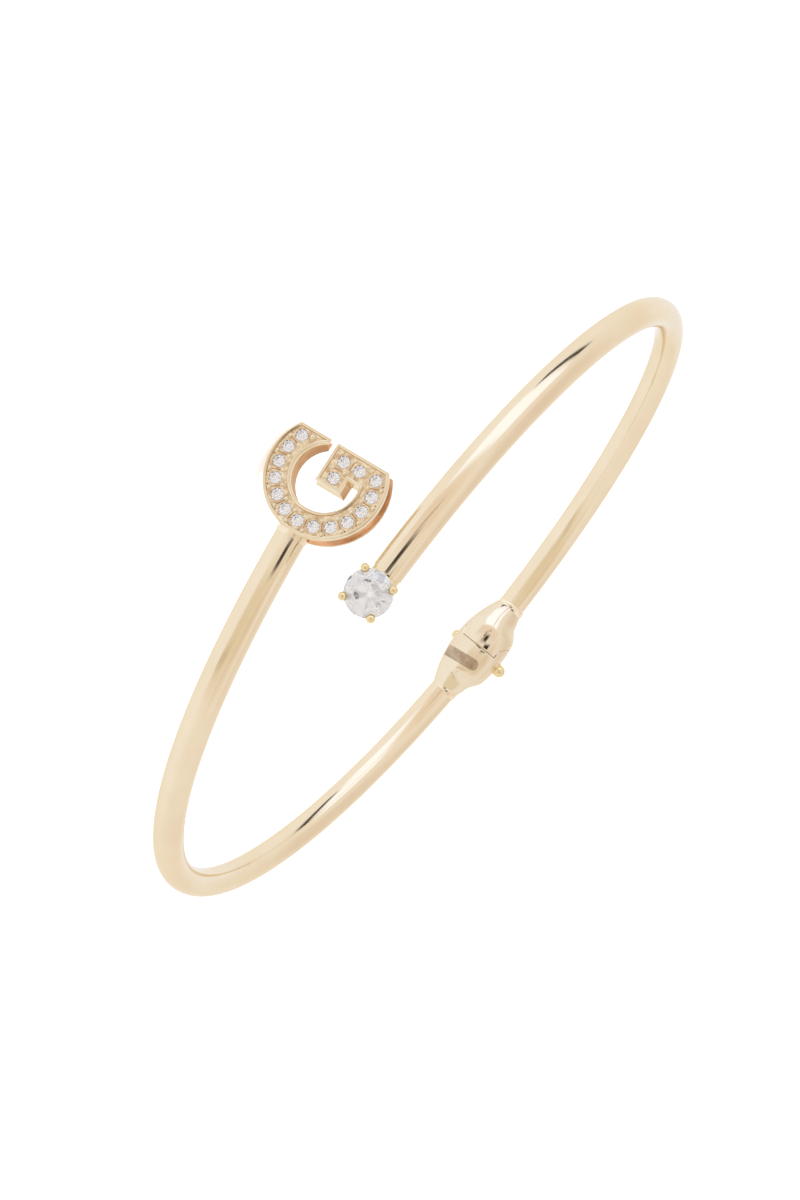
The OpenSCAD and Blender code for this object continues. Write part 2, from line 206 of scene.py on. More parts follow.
def card_distance(axis, half_size):
    """How far a direction lies outside the card along one axis, with the card at distance 1."""
    ahead = add_maths(card_group, "MAXIMUM", part_along("Toward"), LEAST_AHEAD)
    slope = add_maths(card_group, "DIVIDE", part_along(axis), ahead)
    return add_maths(card_group, "SUBTRACT", add_maths(card_group, "ABSOLUTE", slope),
                     card_in.outputs[half_size])


outside = add_maths(card_group, "MAXIMUM", card_distance("Side", "Half Width"),
                    card_distance("Top", "Half Height"))
card_edge = add_maths(card_group, "DIVIDE", outside, card_in.outputs["Softness"])
card_mask = add_node(card_group, "ShaderNodeMapRange",
                     {"Value": card_edge, "From Min": -1, "From Max": 1, "To Min": 1, "To Max": 0},
                     interpolation_type="SMOOTHSTEP")
card_group.links.new(card_mask.outputs["Result"], card_out.inputs["Mask"])
print("group", card_group.name, "with", len(card_group.nodes), "nodes")

# %% The tent
TENT_ABOVE, TENT_BELOW = (0.98, 0.965, 0.99, 1), (1.04, 1.065, 1.14, 1)
# Each card, in degrees: azimuth, elevation, half width, half height and lean. Then its softness
# and its colour.
TENT_CARDS = {
    "ceiling": (135, 60, 34, 20, 0, 0.35, (0.88, 0.82, 0.80, 1)),
    "warm_ceiling": (-45, 60, 14, 17, 0, 0.25, (0.84, 0.75, 0.64, 1)),
    "back_daylight": (110, -9, 24, 18, 0, 0.35, (1.04, 1.13, 1.36, 1)),
    "warm_side": (-57, 18, 17, 26, 0, 0.20, (0.86, 0.80, 0.69, 1)),
    "grey_post": (-48, 4, 3, 17, 0, 0.05, (0.72, 0.66, 0.54, 1)),
    "near_side": (-106, 12, 11, 44, 0, 0.12, (0.94, 0.86, 0.82, 1)),
    "daylight_opening": (-140, -3, 18, 30, 16, 0.14, (1.22, 1.36, 1.70, 1)),
    "dark_gap": (-165, -11, 4.4, 18, 25, 0.03, (0.03, 0.02, 0.015, 1)),
    "camera_gap": (-78, 41, 4.6, 10.5, 0, 0.035, (0.03, 0.02, 0.012, 1)),
    "lens_gap": (-92, 16, 5.4, 12, 0, 0.06, (0.03, 0.02, 0.012, 1)),
    "cable_gap": (-103, 11, 1.8, 9, 30, 0.04, (0.45, 0.38, 0.28, 1)),
}

world = bpy.data.worlds.new("tent")
world.use_nodes = True
bpy.context.scene.world = world
tent = world.node_tree
tent.nodes.clear()

height = add_node(tent, "ShaderNodeSeparateXYZ",
                  {"Vector": add_node(tent, "ShaderNodeTexCoord").outputs["Generated"]})
upward = add_node(tent, "ShaderNodeMapRange",
                  {"Value": height.outputs["Z"], "From Min": -0.6, "From Max": 0.5},
                  interpolation_type="SMOOTHSTEP")
surroundings = mix_colours(tent, upward.outputs["Result"], TENT_BELOW, TENT_ABOVE)
for card_name, (azimuth, elevation, half_w, half_h, lean, soft, colour) in TENT_CARDS.items():
    az, el, roll = math.radians(azimuth), math.radians(elevation), math.radians(lean)
    toward = Vector((math.cos(el) * math.cos(az), math.cos(el) * math.sin(az), math.sin(el)))
    level_side = Vector((-math.sin(az), math.cos(az), 0))
    above = toward.cross(level_side)
    card = add_node(tent, "ShaderNodeGroup", {
        "Toward": toward, "Side": math.cos(roll) * level_side + math.sin(roll) * above,
        "Top": math.cos(roll) * above - math.sin(roll) * level_side,
        "Half Width": math.tan(math.radians(half_w)),
        "Half Height": math.tan(math.radians(half_h)), "Softness": soft},
        node_tree=card_group, label=card_name)
    surroundings = mix_colours(tent, card.outputs["Mask"], surroundings, colour)

STONE_FILL, STONE_FILL_COLOUR = 0.6, (1.0, 0.965, 0.94, 1)
BACKDROP_STRENGTH = 1.03
light_path = add_node(tent, "ShaderNodeLightPath")
fill_part = add_maths(tent, "MULTIPLY", light_path.outputs["Is Transmission Ray"], STONE_FILL)
filled = mix_colours(tent, fill_part, surroundings, STONE_FILL_COLOUR)
tent_light = add_node(tent, "ShaderNodeBackground", {"Color": filled, "Strength": 1.0})
backdrop = add_node(tent, "ShaderNodeBackground",
                    {"Color": (1, 1, 1, 1), "Strength": BACKDROP_STRENGTH})
tent_mix = add_node(tent, "ShaderNodeMixShader",
                    {0: light_path.outputs["Is Camera Ray"], 1: tent_light.outputs[0],
                     2: backdrop.outputs[0]})
add_node(tent, "ShaderNodeOutputWorld", {"Surface": tent_mix.outputs[0]})
bpy.context.scene.view_settings.view_transform = "Standard"
print("tent with", len(TENT_CARDS), "cards")

# %% [markdown]
# ## Light and floor
#
# One large soft light hangs above, as on a product table. A photographer exposes such a table
# until it turns pure white, so that only a trace of shadow is left where the bangle touches it.
# Here the floor glows a little for the camera alone, which whitens it without throwing more
# light on the gold. It is far larger than the bangle, because the camera looks along it. The
# gold mirrors the tent and not the floor, as it would on a sheet of clear glass.

# %% Overhead light and floor
FLOOR_RADIUS, FLOOR_GLOW = 3.0, 0.6


def mesh_of(name, bm):
    """Turns a bmesh into a mesh, and frees it."""
    mesh = bpy.data.meshes.new(name)
    bm.to_mesh(mesh)
    bm.free()
    return mesh


overhead_data = bpy.data.lights.new("overhead_light", "AREA")
overhead_data.shape = "DISK"
overhead_data.size = 1.6
overhead_data.energy = 5.0
overhead_data.color = (1.0, 0.99, 0.97)
overhead = add_object("overhead_light", overhead_data)
overhead.location = (0.25, 0.2, 1.5)
overhead.rotation_euler = (-0.13, 0.16, 0)
overhead.visible_glossy = False

floor_material, floor_tree, floor_shader = new_material("pale_floor")
floor_grain = add_node(floor_tree, "ShaderNodeTexNoise",
                       {"Vector": object_place(floor_tree), "Scale": 9.0, "Detail": 3.0})
for_camera = add_node(floor_tree, "ShaderNodeLightPath").outputs["Is Camera Ray"]
fill_inputs(floor_tree, floor_shader, {
    "Base Color": mix_colours(floor_tree, floor_grain.outputs["Fac"],
                              (0.955, 0.955, 0.95, 1), (0.97, 0.97, 0.965, 1)),
    "Roughness": 0.9, "Specular IOR Level": 0.0, "Emission Color": (1, 1, 1, 1),
    "Emission Strength": add_maths(floor_tree, "MULTIPLY", for_camera, FLOOR_GLOW)})

floor_bm = bmesh.new()
bmesh.ops.create_circle(floor_bm, cap_ends=True, segments=96, radius=FLOOR_RADIUS)
floor = add_object("floor", mesh_of("floor", floor_bm))
floor.data.materials.append(floor_material)
floor.visible_glossy = False
print("floor of", round(floor.dimensions.x, 1), "m")

# %% [markdown]
# ## Polished gold
#
# Pale yellow gold is an alloy, so its colour is soft, and a hand polished surface is never quite
# even: the tone drifts by a few percent, the buffing wheel leaves hair fine marks, and the
# surface waves a little. One group makes all three from a place on the piece. The tube's marks
# run along it, so the tube hands over its own unbent coordinates, and the other pieces hand over
# their Object coordinates.

# %% Group for polish
MARK_HEIGHT = 0.00002
polish_group, polish_in, polish_out = start_group(
    "hand_polish",
    [("Place", VECTOR, (0, 0, 0)), ("Light Tone", COLOUR, (1, 1, 1, 1)),
     ("Deep Tone", COLOUR, (1, 1, 1, 1)), ("Drift Scale", FLOAT, 0.1),
     ("Mark Stretch", VECTOR, (1, 1, 1)), ("Mark Depth", FLOAT, 0.1),
     ("Gloss Low", FLOAT, 0.05), ("Gloss High", FLOAT, 0.12)],
    [("Tone", COLOUR), ("Roughness", FLOAT), ("Normal", VECTOR)])
handed = polish_in.outputs

drift = add_node(polish_group, "ShaderNodeTexNoise",
                 {"Vector": handed["Place"], "Scale": handed["Drift Scale"], "Detail": 3.0,
                  "Roughness": 0.55})
drift_range = add_node(polish_group, "ShaderNodeMapRange",
                       {"Value": drift.outputs["Fac"], "From Min": 0.35, "From Max": 0.65})
stretched = add_node(polish_group, "ShaderNodeVectorMath",
                     {0: handed["Place"], 1: handed["Mark Stretch"]}, operation="MULTIPLY")
marks = add_node(polish_group, "ShaderNodeTexNoise",
                 {"Vector": stretched.outputs["Vector"], "Scale": 1.0, "Detail": 6.0,
                  "Roughness": 0.6})
gloss = add_node(polish_group, "ShaderNodeMapRange",
                 {"Value": marks.outputs["Fac"], "From Min": 0.3, "From Max": 0.7,
                  "To Min": handed["Gloss Low"], "To Max": handed["Gloss High"]})
mark_bump = add_node(polish_group, "ShaderNodeBump",
                     {"Height": marks.outputs["Fac"], "Strength": handed["Mark Depth"],
                      "Distance": MARK_HEIGHT})
fill_inputs(polish_group, polish_out, {
    "Tone": mix_colours(polish_group, drift_range.outputs["Result"], handed["Light Tone"],
                        handed["Deep Tone"]),
    "Roughness": gloss.outputs["Result"], "Normal": mark_bump.outputs["Normal"]})
print("group", polish_group.name, "with", len(polish_group.nodes), "nodes")



# %% [markdown]
# ## Gold by finish
#
# The Principled shader stays in each material. Metallic is 1, and the specular tint keeps the
# grazing edge gold, where plain metal would turn as white as the room. The tube is the palest,
# and the letter and the claws are a deeper yellow. The groove round the letter is matt, and its
# orange and dark tones are painted bounce light and shade, for light that is caught there and
# bounces from gold to gold. A dark brown is painted shade for walls and cuts that lie in shade.
# In every finish the gold that is seen in a reflection is painted paler: a ray that arrives from
# another mirror, which the Light Path node tells, finds a paler tone, a painted reflection.

# %% Gold materials
def gold(name, light, deep, stretch, drift_scale=150.0, depth=0.1, gloss_range=(0.05, 0.12),
         edge=(0.93, 0.86, 0.74, 1), painted_reflection_tone=(0.93, 0.87, 0.76, 1), along_tube=False):
    """A gold material: light and deep are its two tones, stretch is the marks' frequency."""
    material, tree, shader = new_material(name)
    if along_tube:
        place = add_node(tree, "ShaderNodeAttribute", attribute_name="tube_place")
        place_socket = place.outputs["Vector"]
    else:
        place_socket = object_place(tree)
    polish = add_node(tree, "ShaderNodeGroup", {
        "Place": place_socket, "Light Tone": light, "Deep Tone": deep,
        "Drift Scale": drift_scale, "Mark Stretch": stretch, "Mark Depth": depth,
        "Gloss Low": gloss_range[0], "Gloss High": gloss_range[1]}, node_tree=polish_group)
    # Painted reflection: gold seen through another mirror turns to the paler tone
    from_mirror = add_node(tree, "ShaderNodeLightPath").outputs["Is Glossy Ray"]
    fill_inputs(tree, shader, {
        "Base Color": mix_colours(tree, from_mirror, polish.outputs["Tone"], painted_reflection_tone),
        "Roughness": polish.outputs["Roughness"], "Normal": polish.outputs["Normal"],
        "Metallic": 1.0, "Specular Tint": edge})
    return material


tube_gold = gold("tube_gold", (0.865, 0.73, 0.52, 1), (0.835, 0.69, 0.475, 1), (3.0, 3.0, 0.12),
                 drift_scale=0.16, depth=0.05, gloss_range=(0.09, 0.14), along_tube=True)
barrel_gold = gold("barrel_gold", (0.86, 0.745, 0.55, 1), (0.82, 0.68, 0.48, 1),
                   (2500, 2500, 2500), drift_scale=260.0, depth=0.10)
letter_gold = gold("letter_gold", (0.87, 0.73, 0.48, 1), (0.83, 0.66, 0.40, 1),
                   (3500, 3500, 3500), drift_scale=420.0, depth=0.15, gloss_range=(0.07, 0.16))
bed_gold = gold("bed_gold", (0.92, 0.80, 0.56, 1), (0.60, 0.42, 0.24, 1),
                (3500, 3500, 3500), drift_scale=2600.0, depth=0.35, gloss_range=(0.10, 0.22))
rim_gold = gold("rim_gold", (0.86, 0.755, 0.54, 1), (0.81, 0.68, 0.45, 1),
                (3500, 3500, 3500), drift_scale=900.0, depth=0.15, gloss_range=(0.06, 0.14))
# Painted bounce light and shade: orange and dark tones for the groove and the pits
painted_bounce_gold = gold("painted_bounce_gold", (0.84, 0.46, 0.24, 1), (0.44, 0.19, 0.08, 1),
                   (5200, 5200, 5200), drift_scale=420.0, depth=0.30, gloss_range=(0.12, 0.30),
                   edge=(0.85, 0.62, 0.42, 1), painted_reflection_tone=(0.90, 0.80, 0.66, 1))
# Painted shade: a dark brown for walls and cuts that lie in shade
painted_shade_gold = gold("painted_shade_gold", (0.69, 0.43, 0.25, 1), (0.50, 0.28, 0.15, 1),
                 (5200, 5200, 5200), drift_scale=500.0, depth=0.30, gloss_range=(0.14, 0.30),
                 edge=(0.90, 0.72, 0.52, 1), painted_reflection_tone=(0.90, 0.80, 0.66, 1))
satin_gold = gold("satin_gold", (0.60, 0.46, 0.32, 1), (0.42, 0.30, 0.195, 1),
                  (2600, 2600, 9000), drift_scale=1500.0, depth=0.5, gloss_range=(0.25, 0.42))
claw_gold = gold("claw_gold", (0.86, 0.71, 0.42, 1), (0.83, 0.65, 0.35, 1),
                 (3500, 3500, 3500), drift_scale=500.0, depth=0.10)
solder_gold = gold("solder_gold", (0.93, 0.82, 0.62, 1), (0.88, 0.71, 0.50, 1),
                   (4200, 4200, 4200), drift_scale=900.0, depth=0.20, gloss_range=(0.08, 0.18))
print("gold materials", [m.name for m in bpy.data.materials if m.name.endswith("_gold")])

# %% [markdown]
# ## Clear stones
#
# A cut stone is clear, and bends light strongly. Its sparkle comes from flat facets that mirror
# the room inside the stone, so the mesh does most of the work and the shader is glass with a high
# index. Stones of this grade are a little milky. So a small part of the light is scattered, the
# rest is passed on with a trace of haze, and a drift in the tint stands for the cloudy places.

# %% Stone materials
def clear_stone(name, pale, tinted, index, drift_scale, clearness, haze):
    """A clear material for cut stones, with a tint that drifts between two values."""
    material, tree, shader = new_material(name)
    tint_noise = add_node(tree, "ShaderNodeTexNoise",
                          {"Vector": object_place(tree), "Scale": drift_scale, "Detail": 2.0})
    fill_inputs(tree, shader, {
        "Base Color": mix_colours(tree, tint_noise.outputs["Fac"], pale, tinted),
        "Transmission Weight": clearness, "IOR": index, "Roughness": haze})
    return material


small_stone_glass = clear_stone("small_stone_glass", (1.0, 0.985, 0.965, 1),
                                (0.96, 0.93, 0.93, 1), 2.1, 2400.0, clearness=0.95,
                                haze=0.03)
solitaire_glass = clear_stone("solitaire_glass", (1.0, 0.99, 0.97, 1),
                              (0.97, 0.96, 0.94, 1), 2.2, 900.0, clearness=0.90, haze=0.045)
print("stone materials", [m.name for m in bpy.data.materials if m.name.endswith("_glass")])

# %% [markdown]
# ## Finishing a piece
#
# Each piece ends the same way: it is laid down on the table, its faces are turned outwards, its
# curved faces are shaded smooth with a crease where two faces meet at an angle, and it is handed
# to the CAD body that it moves with, in place of the CAD nodes that it stands for.

# %% Finishing
def finish_piece(name, bm, materials, body, node, crease=35.0, faceted=False):
    """Turns a bench mesh into a finished piece on the table, in place of a CAD node."""
    bmesh.ops.recalc_face_normals(bm, faces=bm.faces)
    bmesh.ops.transform(bm, matrix=bench_to_table, verts=bm.verts)
    mesh = mesh_of(name, bm)
    for material in materials:
        mesh.materials.append(material)
    piece = add_object(name, mesh)
    if faceted:
        mesh.shade_flat()
    else:
        mesh.shade_smooth()
        mesh.set_sharp_from_angle(angle=math.radians(crease))
    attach(piece, body)
    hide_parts(node)
    print(name, len(mesh.polygons), "faces")


# %% [markdown]
# ## The two tubes
#
# On the bench a straight tube is drawn down to about 2.4 mm and bent round an oval former. The
# letter's end sinks and the stone's end rises, so that they pass each other at the front. Here a
# circle is extruded ring by ring, and each new ring is carried to the next place on that path.
# Every vertex keeps its unbent place, round the tube and along it, for the polishing marks.

# %% The path of the tubes
OVAL_HALF_WIDTH, OVAL_HALF_DEPTH, OVAL_POWER = 30.1, 25.15, 0.97
TUBE_RADIUS = 1.218
INITIAL_DROP, INITIAL_POWER = 6.25, 2.35
STONE_RISE, STONE_POWER = 1.63, 2.22
INITIAL_END, STONE_END = 173.8, 181.7
BARREL_HALF_LENGTH = 4.7
neck_angle = math.degrees(math.asin((BARREL_HALF_LENGTH / OVAL_HALF_WIDTH) ** (1 / OVAL_POWER)))


def signed_power(value, power):
    return math.copysign(abs(value) ** power, value)


def arm_height(side, degrees):
    if side > 0:
        return -INITIAL_DROP * (degrees / 180) ** INITIAL_POWER
    return STONE_RISE * (degrees / 180) ** STONE_POWER


def arm_point(side, degrees):
    """Middle of the tube. Side is 1 for the letter's arm, and the angle starts at the hinge."""
    turn = math.radians(degrees)
    return Vector((side * OVAL_HALF_WIDTH * signed_power(math.sin(turn), OVAL_POWER),
                   OVAL_HALF_DEPTH * signed_power(math.cos(turn), OVAL_POWER),
                   arm_height(side, degrees)))


INITIAL_TURN, INITIAL_YAW = math.radians(7.7), math.radians(-3.5)
SOLITAIRE_PITCH, SOLITAIRE_YAW = math.radians(8), math.radians(3)
yaw_initial = Matrix.Rotation(INITIAL_YAW, 3, "Z")
initial_right = yaw_initial @ Vector((-math.cos(INITIAL_TURN), 0, -math.sin(INITIAL_TURN)))
initial_up = yaw_initial @ Vector((math.sin(INITIAL_TURN), 0, -math.cos(INITIAL_TURN)))
solitaire_right = Matrix.Rotation(SOLITAIRE_YAW, 3, "Z") @ Vector((1, 0, 0))
print("tubes leave the barrel at", round(neck_angle, 2), "degrees")

# %% Sweeping a tube
TUBE_SIDES, TUBE_RINGS = 48, 150
NEARBY_DEGREES = 0.1


def ring_frame(centre, along):
    """A matrix that carries a flat ring to a place on the path, square to it."""
    outward = along.cross(Vector((0, 0, 1))).normalized()
    upward = outward.cross(along).normalized()
    return Matrix.Translation(centre) @ Matrix((outward, upward, -along)).transposed().to_4x4()


def only(kind, geom):
    """The vertices, the edges or the faces out of what an operator returned."""
    return [g for g in geom if isinstance(g, kind)]


def fill_openings(bm):
    bmesh.ops.holes_fill(bm, edges=[edge for edge in bm.edges if edge.is_boundary])


def sweep_tube(side, last_angle, last_along):
    bm = bmesh.new()
    unbent = bm.verts.layers.float_vector.new("tube_place")
    bmesh.ops.create_circle(bm, cap_ends=False, segments=TUBE_SIDES, radius=TUBE_RADIUS)
    ring_verts, ring_edges = list(bm.verts), list(bm.edges)
    here, travelled, last_centre = Matrix.Identity(4), 0.0, None
    for step in range(TUBE_RINGS + 1):
        angle = neck_angle + (last_angle - neck_angle) * step / TUBE_RINGS
        centre = arm_point(side, angle)
        along = (arm_point(side, angle + NEARBY_DEGREES)
                 - arm_point(side, angle - NEARBY_DEGREES)).normalized()
        if step == 0:
            along = Vector((side, 0, 0))
            centre.z = 0.0
        if step == TUBE_RINGS:
            along = last_along
        if last_centre is not None:
            travelled += (centre - last_centre).length
            grown = bmesh.ops.extrude_edge_only(bm, edges=ring_edges)["geom"]
            ring_verts = only(bmesh.types.BMVert, grown)
            chosen = set(ring_verts)
            ring_edges = [edge for edge in only(bmesh.types.BMEdge, grown)
                          if edge.verts[0] in chosen and edge.verts[1] in chosen]
        there = ring_frame(centre, along)
        bmesh.ops.transform(bm, matrix=there @ here.inverted(), verts=ring_verts)
        for vert in ring_verts:
            flat = there.inverted() @ vert.co
            vert[unbent] = Vector((flat.x, flat.y, travelled))
        here, last_centre = there, centre
    fill_openings(bm)
    return bm


finish_piece("initial_tube", sweep_tube(1, INITIAL_END, initial_right), [tube_gold],
             "initial_half", "initial_arm")
finish_piece("stone_tube", sweep_tube(-1, STONE_END, solitaire_right), [tube_gold],
             "stone_half", "stone_arm")

# %% [markdown]
# ## The barrel hinge
#
# The hinge is an olive shaped barrel, cut in two across its middle. The letter's half is a fork
# with a round ear above and below, and the stone's half has a tongue between the ears, so that
# one pin holds both. Spinning an arc makes the olive. It was filed by hand, so it is hollowed
# towards the necks on its upper side, and a little fuller in front on the stone's half. Cutters
# shaped as the real saw cuts are then taken away with Boolean modifiers, and a narrow bevel gives
# the edges their polish.

# %% The olive and its cutters
BARREL_RADIUS, BARREL_NECK_RADIUS, BARREL_RISE = 2.46, 1.38, 0.14
SEAM_X, PIN_OFFSET, TONGUE_RISE = -0.22, 0.2, 0.35
PIN_RADIUS, PIN_PLAY, HINGE_GAP = 0.4, 0.03, 0.05
TONGUE_HALF, KNUCKLE_RADIUS, EAR_RADIUS = 1.7, 1.2, 1.85
OPENING_ANGLE, RELIEF_SPARE = 35, 1
relief_angle = OPENING_ANGLE / 2 + RELIEF_SPARE
FAR, FULL_TURN = 12.0, 2 * math.pi
HOLLOW_START, HOLLOW_END, HOLLOW_DEPTH, HOLLOW_LESS = 2.2, 3.5, 0.42, 0.1
FRONT_SWELL = 0.11
barrel_y = OVAL_HALF_DEPTH * math.cos(math.radians(neck_angle)) ** OVAL_POWER
swell = BARREL_RADIUS - BARREL_NECK_RADIUS
barrel_arc_radius = (BARREL_HALF_LENGTH ** 2 + swell ** 2) / (2 * swell)
pin_place = Vector((PIN_OFFSET, barrel_y, TONGUE_RISE))


def spin(bm, geom, centre, axis, angle, steps):
    """Turns geometry about an axis. A full turn is joined to its start."""
    bmesh.ops.spin(bm, geom=geom, cent=centre, axis=axis, dvec=(0, 0, 0), angle=angle,
                   steps=steps, use_merge=angle == FULL_TURN, use_duplicate=False)


def neck_hollow(aside):
    """How much is filed off the upper side, at a distance from the barrel's middle."""
    part = min(1.0, max(0.0, (aside - HOLLOW_START) / (HOLLOW_END - HOLLOW_START)))
    return HOLLOW_DEPTH * part ** 2 * (3 - 2 * part) - HOLLOW_LESS * max(0.0, aside - HOLLOW_END)


def olive():
    """The whole barrel as a closed solid, its line a little above the tubes' own."""
    bm = bmesh.new()
    barrel_middle = Vector((0, barrel_y, BARREL_RISE))
    first = bm.verts.new(barrel_middle + Vector((-BARREL_HALF_LENGTH, 0, BARREL_NECK_RADIUS)))
    arc_middle = barrel_middle + Vector((0, 0, BARREL_RADIUS - barrel_arc_radius))
    half_arc = math.asin(BARREL_HALF_LENGTH / barrel_arc_radius)
    spin(bm, [first], arc_middle, (0, 1, 0), 2 * half_arc, 48)
    spin(bm, list(bm.verts) + list(bm.edges), barrel_middle, (1, 0, 0), FULL_TURN, 96)
    bmesh.ops.remove_doubles(bm, verts=bm.verts, dist=0.001)
    fill_openings(bm)
    for vert in bm.verts:
        aside = vert.co.x
        spoke = Vector((0, *(vert.co - barrel_middle).yz)).normalized()
        to_front = max(0.0, -spoke.y)
        vert.co -= neck_hollow(abs(aside)) * (1 + spoke.z) / 2 * spoke
        vert.co.y += FRONT_SWELL * aside * to_front * (1 - (aside / BARREL_HALF_LENGTH) ** 2)
    bmesh.ops.recalc_face_normals(bm, faces=bm.faces)
    return bm


def add_box(bm, low, high):
    size = [b - a for a, b in zip(low, high)]
    middle = [(a + b) / 2 for a, b in zip(low, high)]
    bmesh.ops.create_cube(bm, size=1.0, matrix=Matrix.Translation(middle)
                          @ Matrix.Diagonal((*size, 1)))


def add_round(bm, radius, low, high, centre=pin_place, segments=96):
    """An upright round bar. Its two heights count from the height of its centre."""
    middle = Vector((centre.x, centre.y, centre.z + (low + high) / 2))
    bmesh.ops.create_cone(bm, cap_ends=True, segments=segments, radius1=radius,
                          radius2=radius, depth=high - low, matrix=Matrix.Translation(middle))


def add_wedge(bm, from_angle, to_angle, low, high):
    """A wedge about the pin's line, less than 180 degrees wide."""
    start = bm.verts.new(pin_place + Vector((0, 0, low)))
    tip = bmesh.ops.extrude_vert_indiv(bm, verts=[start])["verts"][0]
    tip.co += FAR * Vector((math.cos(math.radians(from_angle)),
                            math.sin(math.radians(from_angle)), 0))
    edge = start.link_edges[0]
    spin(bm, [start, tip, edge], pin_place, (0, 0, 1), math.radians(to_angle - from_angle), 8)
    bmesh.ops.remove_doubles(bm, verts=bm.verts, dist=0.0001)
    grown = bmesh.ops.extrude_face_region(bm, geom=list(bm.faces))["geom"]
    bmesh.ops.translate(bm, vec=(0, 0, high - low), verts=only(bmesh.types.BMVert, grown))
    bmesh.ops.recalc_face_normals(bm, faces=bm.faces)


def cut(bm, cutter, operation="DIFFERENCE"):
    """Takes a cutter's solid away from a bench mesh, or keeps or adds it."""
    parts = [add_object(label, mesh_of(label, source))
             for label, source in (("work", bm), ("cutter", cutter))]
    work, tool = parts
    boolean = work.modifiers.new("cut", "BOOLEAN")
    boolean.operation = operation
    boolean.solver = "EXACT"
    boolean.object = tool
    depsgraph = bpy.context.evaluated_depsgraph_get()
    result = bmesh.new()
    result.from_mesh(work.evaluated_get(depsgraph).to_mesh())
    for part in parts:
        mesh = part.data
        bpy.data.objects.remove(part)
        bpy.data.meshes.remove(mesh)
    return result


def cutter_of(*steps):
    """A cutter made by calls such as (add_box, low, high)."""
    bm = bmesh.new()
    for make, *values in steps:
        make(bm, *values)
    return bm


def carve(bm, *step, operation="DIFFERENCE"):
    """Cuts with a cutter that one call makes."""
    return cut(bm, cutter_of(step), operation)


print("the barrel's outline is an arc of", round(barrel_arc_radius, 2), "mm")

# %% The two halves of the barrel
ear_inner = TONGUE_HALF + HINGE_GAP
fork_seam, tongue_seam = SEAM_X + HINGE_GAP / 2, SEAM_X - HINGE_GAP / 2
behind, before = barrel_y + FAR, barrel_y - FAR

fork = carve(olive(), add_box, (-FAR, before, TONGUE_RISE - ear_inner),
             (fork_seam, behind, TONGUE_RISE + ear_inner))
fork_keep = carve(cutter_of((add_box, (fork_seam, before, -FAR), (FAR, behind, FAR))),
                  add_round, EAR_RADIUS, -FAR, FAR, operation="UNION")
fork = cut(fork, fork_keep, "INTERSECT")
fork = carve(fork, add_round, KNUCKLE_RADIUS + HINGE_GAP, -ear_inner, ear_inner)
fork_notch = cutter_of((add_wedge, 90 - relief_angle, 180, -FAR, FAR))
for lowest, highest in ((ear_inner, 2 * FAR), (-2 * FAR, -ear_inner)):
    fork_notch = carve(fork_notch, add_round, EAR_RADIUS, lowest, highest)
fork = cut(fork, fork_notch)
fork = carve(fork, add_round, PIN_RADIUS, -FAR, FAR, pin_place, 32)

tongue = carve(olive(), add_box, (tongue_seam, before, -FAR), (FAR, behind, FAR))
for lowest, highest in ((TONGUE_HALF, FAR), (-FAR, -TONGUE_HALF)):
    tongue = carve(tongue, add_round, EAR_RADIUS + HINGE_GAP, lowest, highest)
tongue = carve(tongue, add_wedge, 0, 90 + relief_angle, -FAR, FAR)
knuckle = carve(olive(), add_round, KNUCKLE_RADIUS, -TONGUE_HALF, TONGUE_HALF,
                operation="INTERSECT")
tongue = cut(tongue, knuckle, "UNION")
tongue = carve(tongue, add_round, PIN_RADIUS + PIN_PLAY, -FAR, FAR, pin_place, 32)


def bevel_edges(bm, edges, width, segments):
    bmesh.ops.bevel(bm, geom=edges, offset=width, offset_type="OFFSET", segments=segments,
                    profile=0.5, affect="EDGES", clamp_overlap=True, material=-1)


def soften_edges(bm, angle, width):
    """Bevels the edges that are sharper than an angle, as polishing rounds them."""
    bmesh.ops.remove_doubles(bm, verts=bm.verts, dist=0.002)
    sharp = [edge for edge in bm.edges if edge.is_manifold
             and edge.calc_face_angle(0) > math.radians(angle)]
    bevel_edges(bm, sharp, width, segments=2)


for half in (fork, tongue):
    soften_edges(half, angle=40, width=0.035)
print("barrel halves of", len(fork.faces), "and", len(tongue.faces), "faces")

# %% [markdown]
# ## Panel and solder
#
# A narrow panel with one rounded end is sunk in the front of the fork and left satin. A block is
# laid across the barrel for it, and a thinner olive is taken out of the block, so that the rest
# cuts to an even depth. Where the tubes leave the barrel, solder stands up in an uneven collar: a
# turned ring, with noise moving its vertices.

# %% Panel
PANEL_FROM_X, PANEL_TO_X, PANEL_END_Z = 0.85, 1.9, 1.5
PANEL_CORNER, PANEL_LEAN, PANEL_SCALE = 0.42, math.radians(-7.5), 0.965
PANEL_FOOT, PANEL_IN_FRONT, PANEL_BEHIND, ON_FLOOR = -4, 4, 0.2, 0.005
BARREL_FINISHES = [barrel_gold, solder_gold, satin_gold]
BARREL, SOLDER, SATIN = range(len(BARREL_FINISHES))


def panel_block():
    bm = cutter_of((add_box, (PANEL_FROM_X, barrel_y - PANEL_IN_FRONT, PANEL_FOOT),
                    (PANEL_TO_X, barrel_y - PANEL_BEHIND, PANEL_END_Z)))
    end_corners = [edge for edge in bm.edges
                   if min(vert.co.z for vert in edge.verts) > PANEL_END_Z - 0.01
                   and abs(edge.verts[0].co.y - edge.verts[1].co.y) > 1]
    bevel_edges(bm, end_corners, PANEL_CORNER, segments=8)
    pivot = Matrix.Translation(((PANEL_FROM_X + PANEL_TO_X) / 2, barrel_y, PANEL_END_Z))
    bmesh.ops.transform(bm, verts=bm.verts, matrix=pivot
                        @ Matrix.Rotation(PANEL_LEAN, 4, "Y") @ pivot.inverted())
    return bm


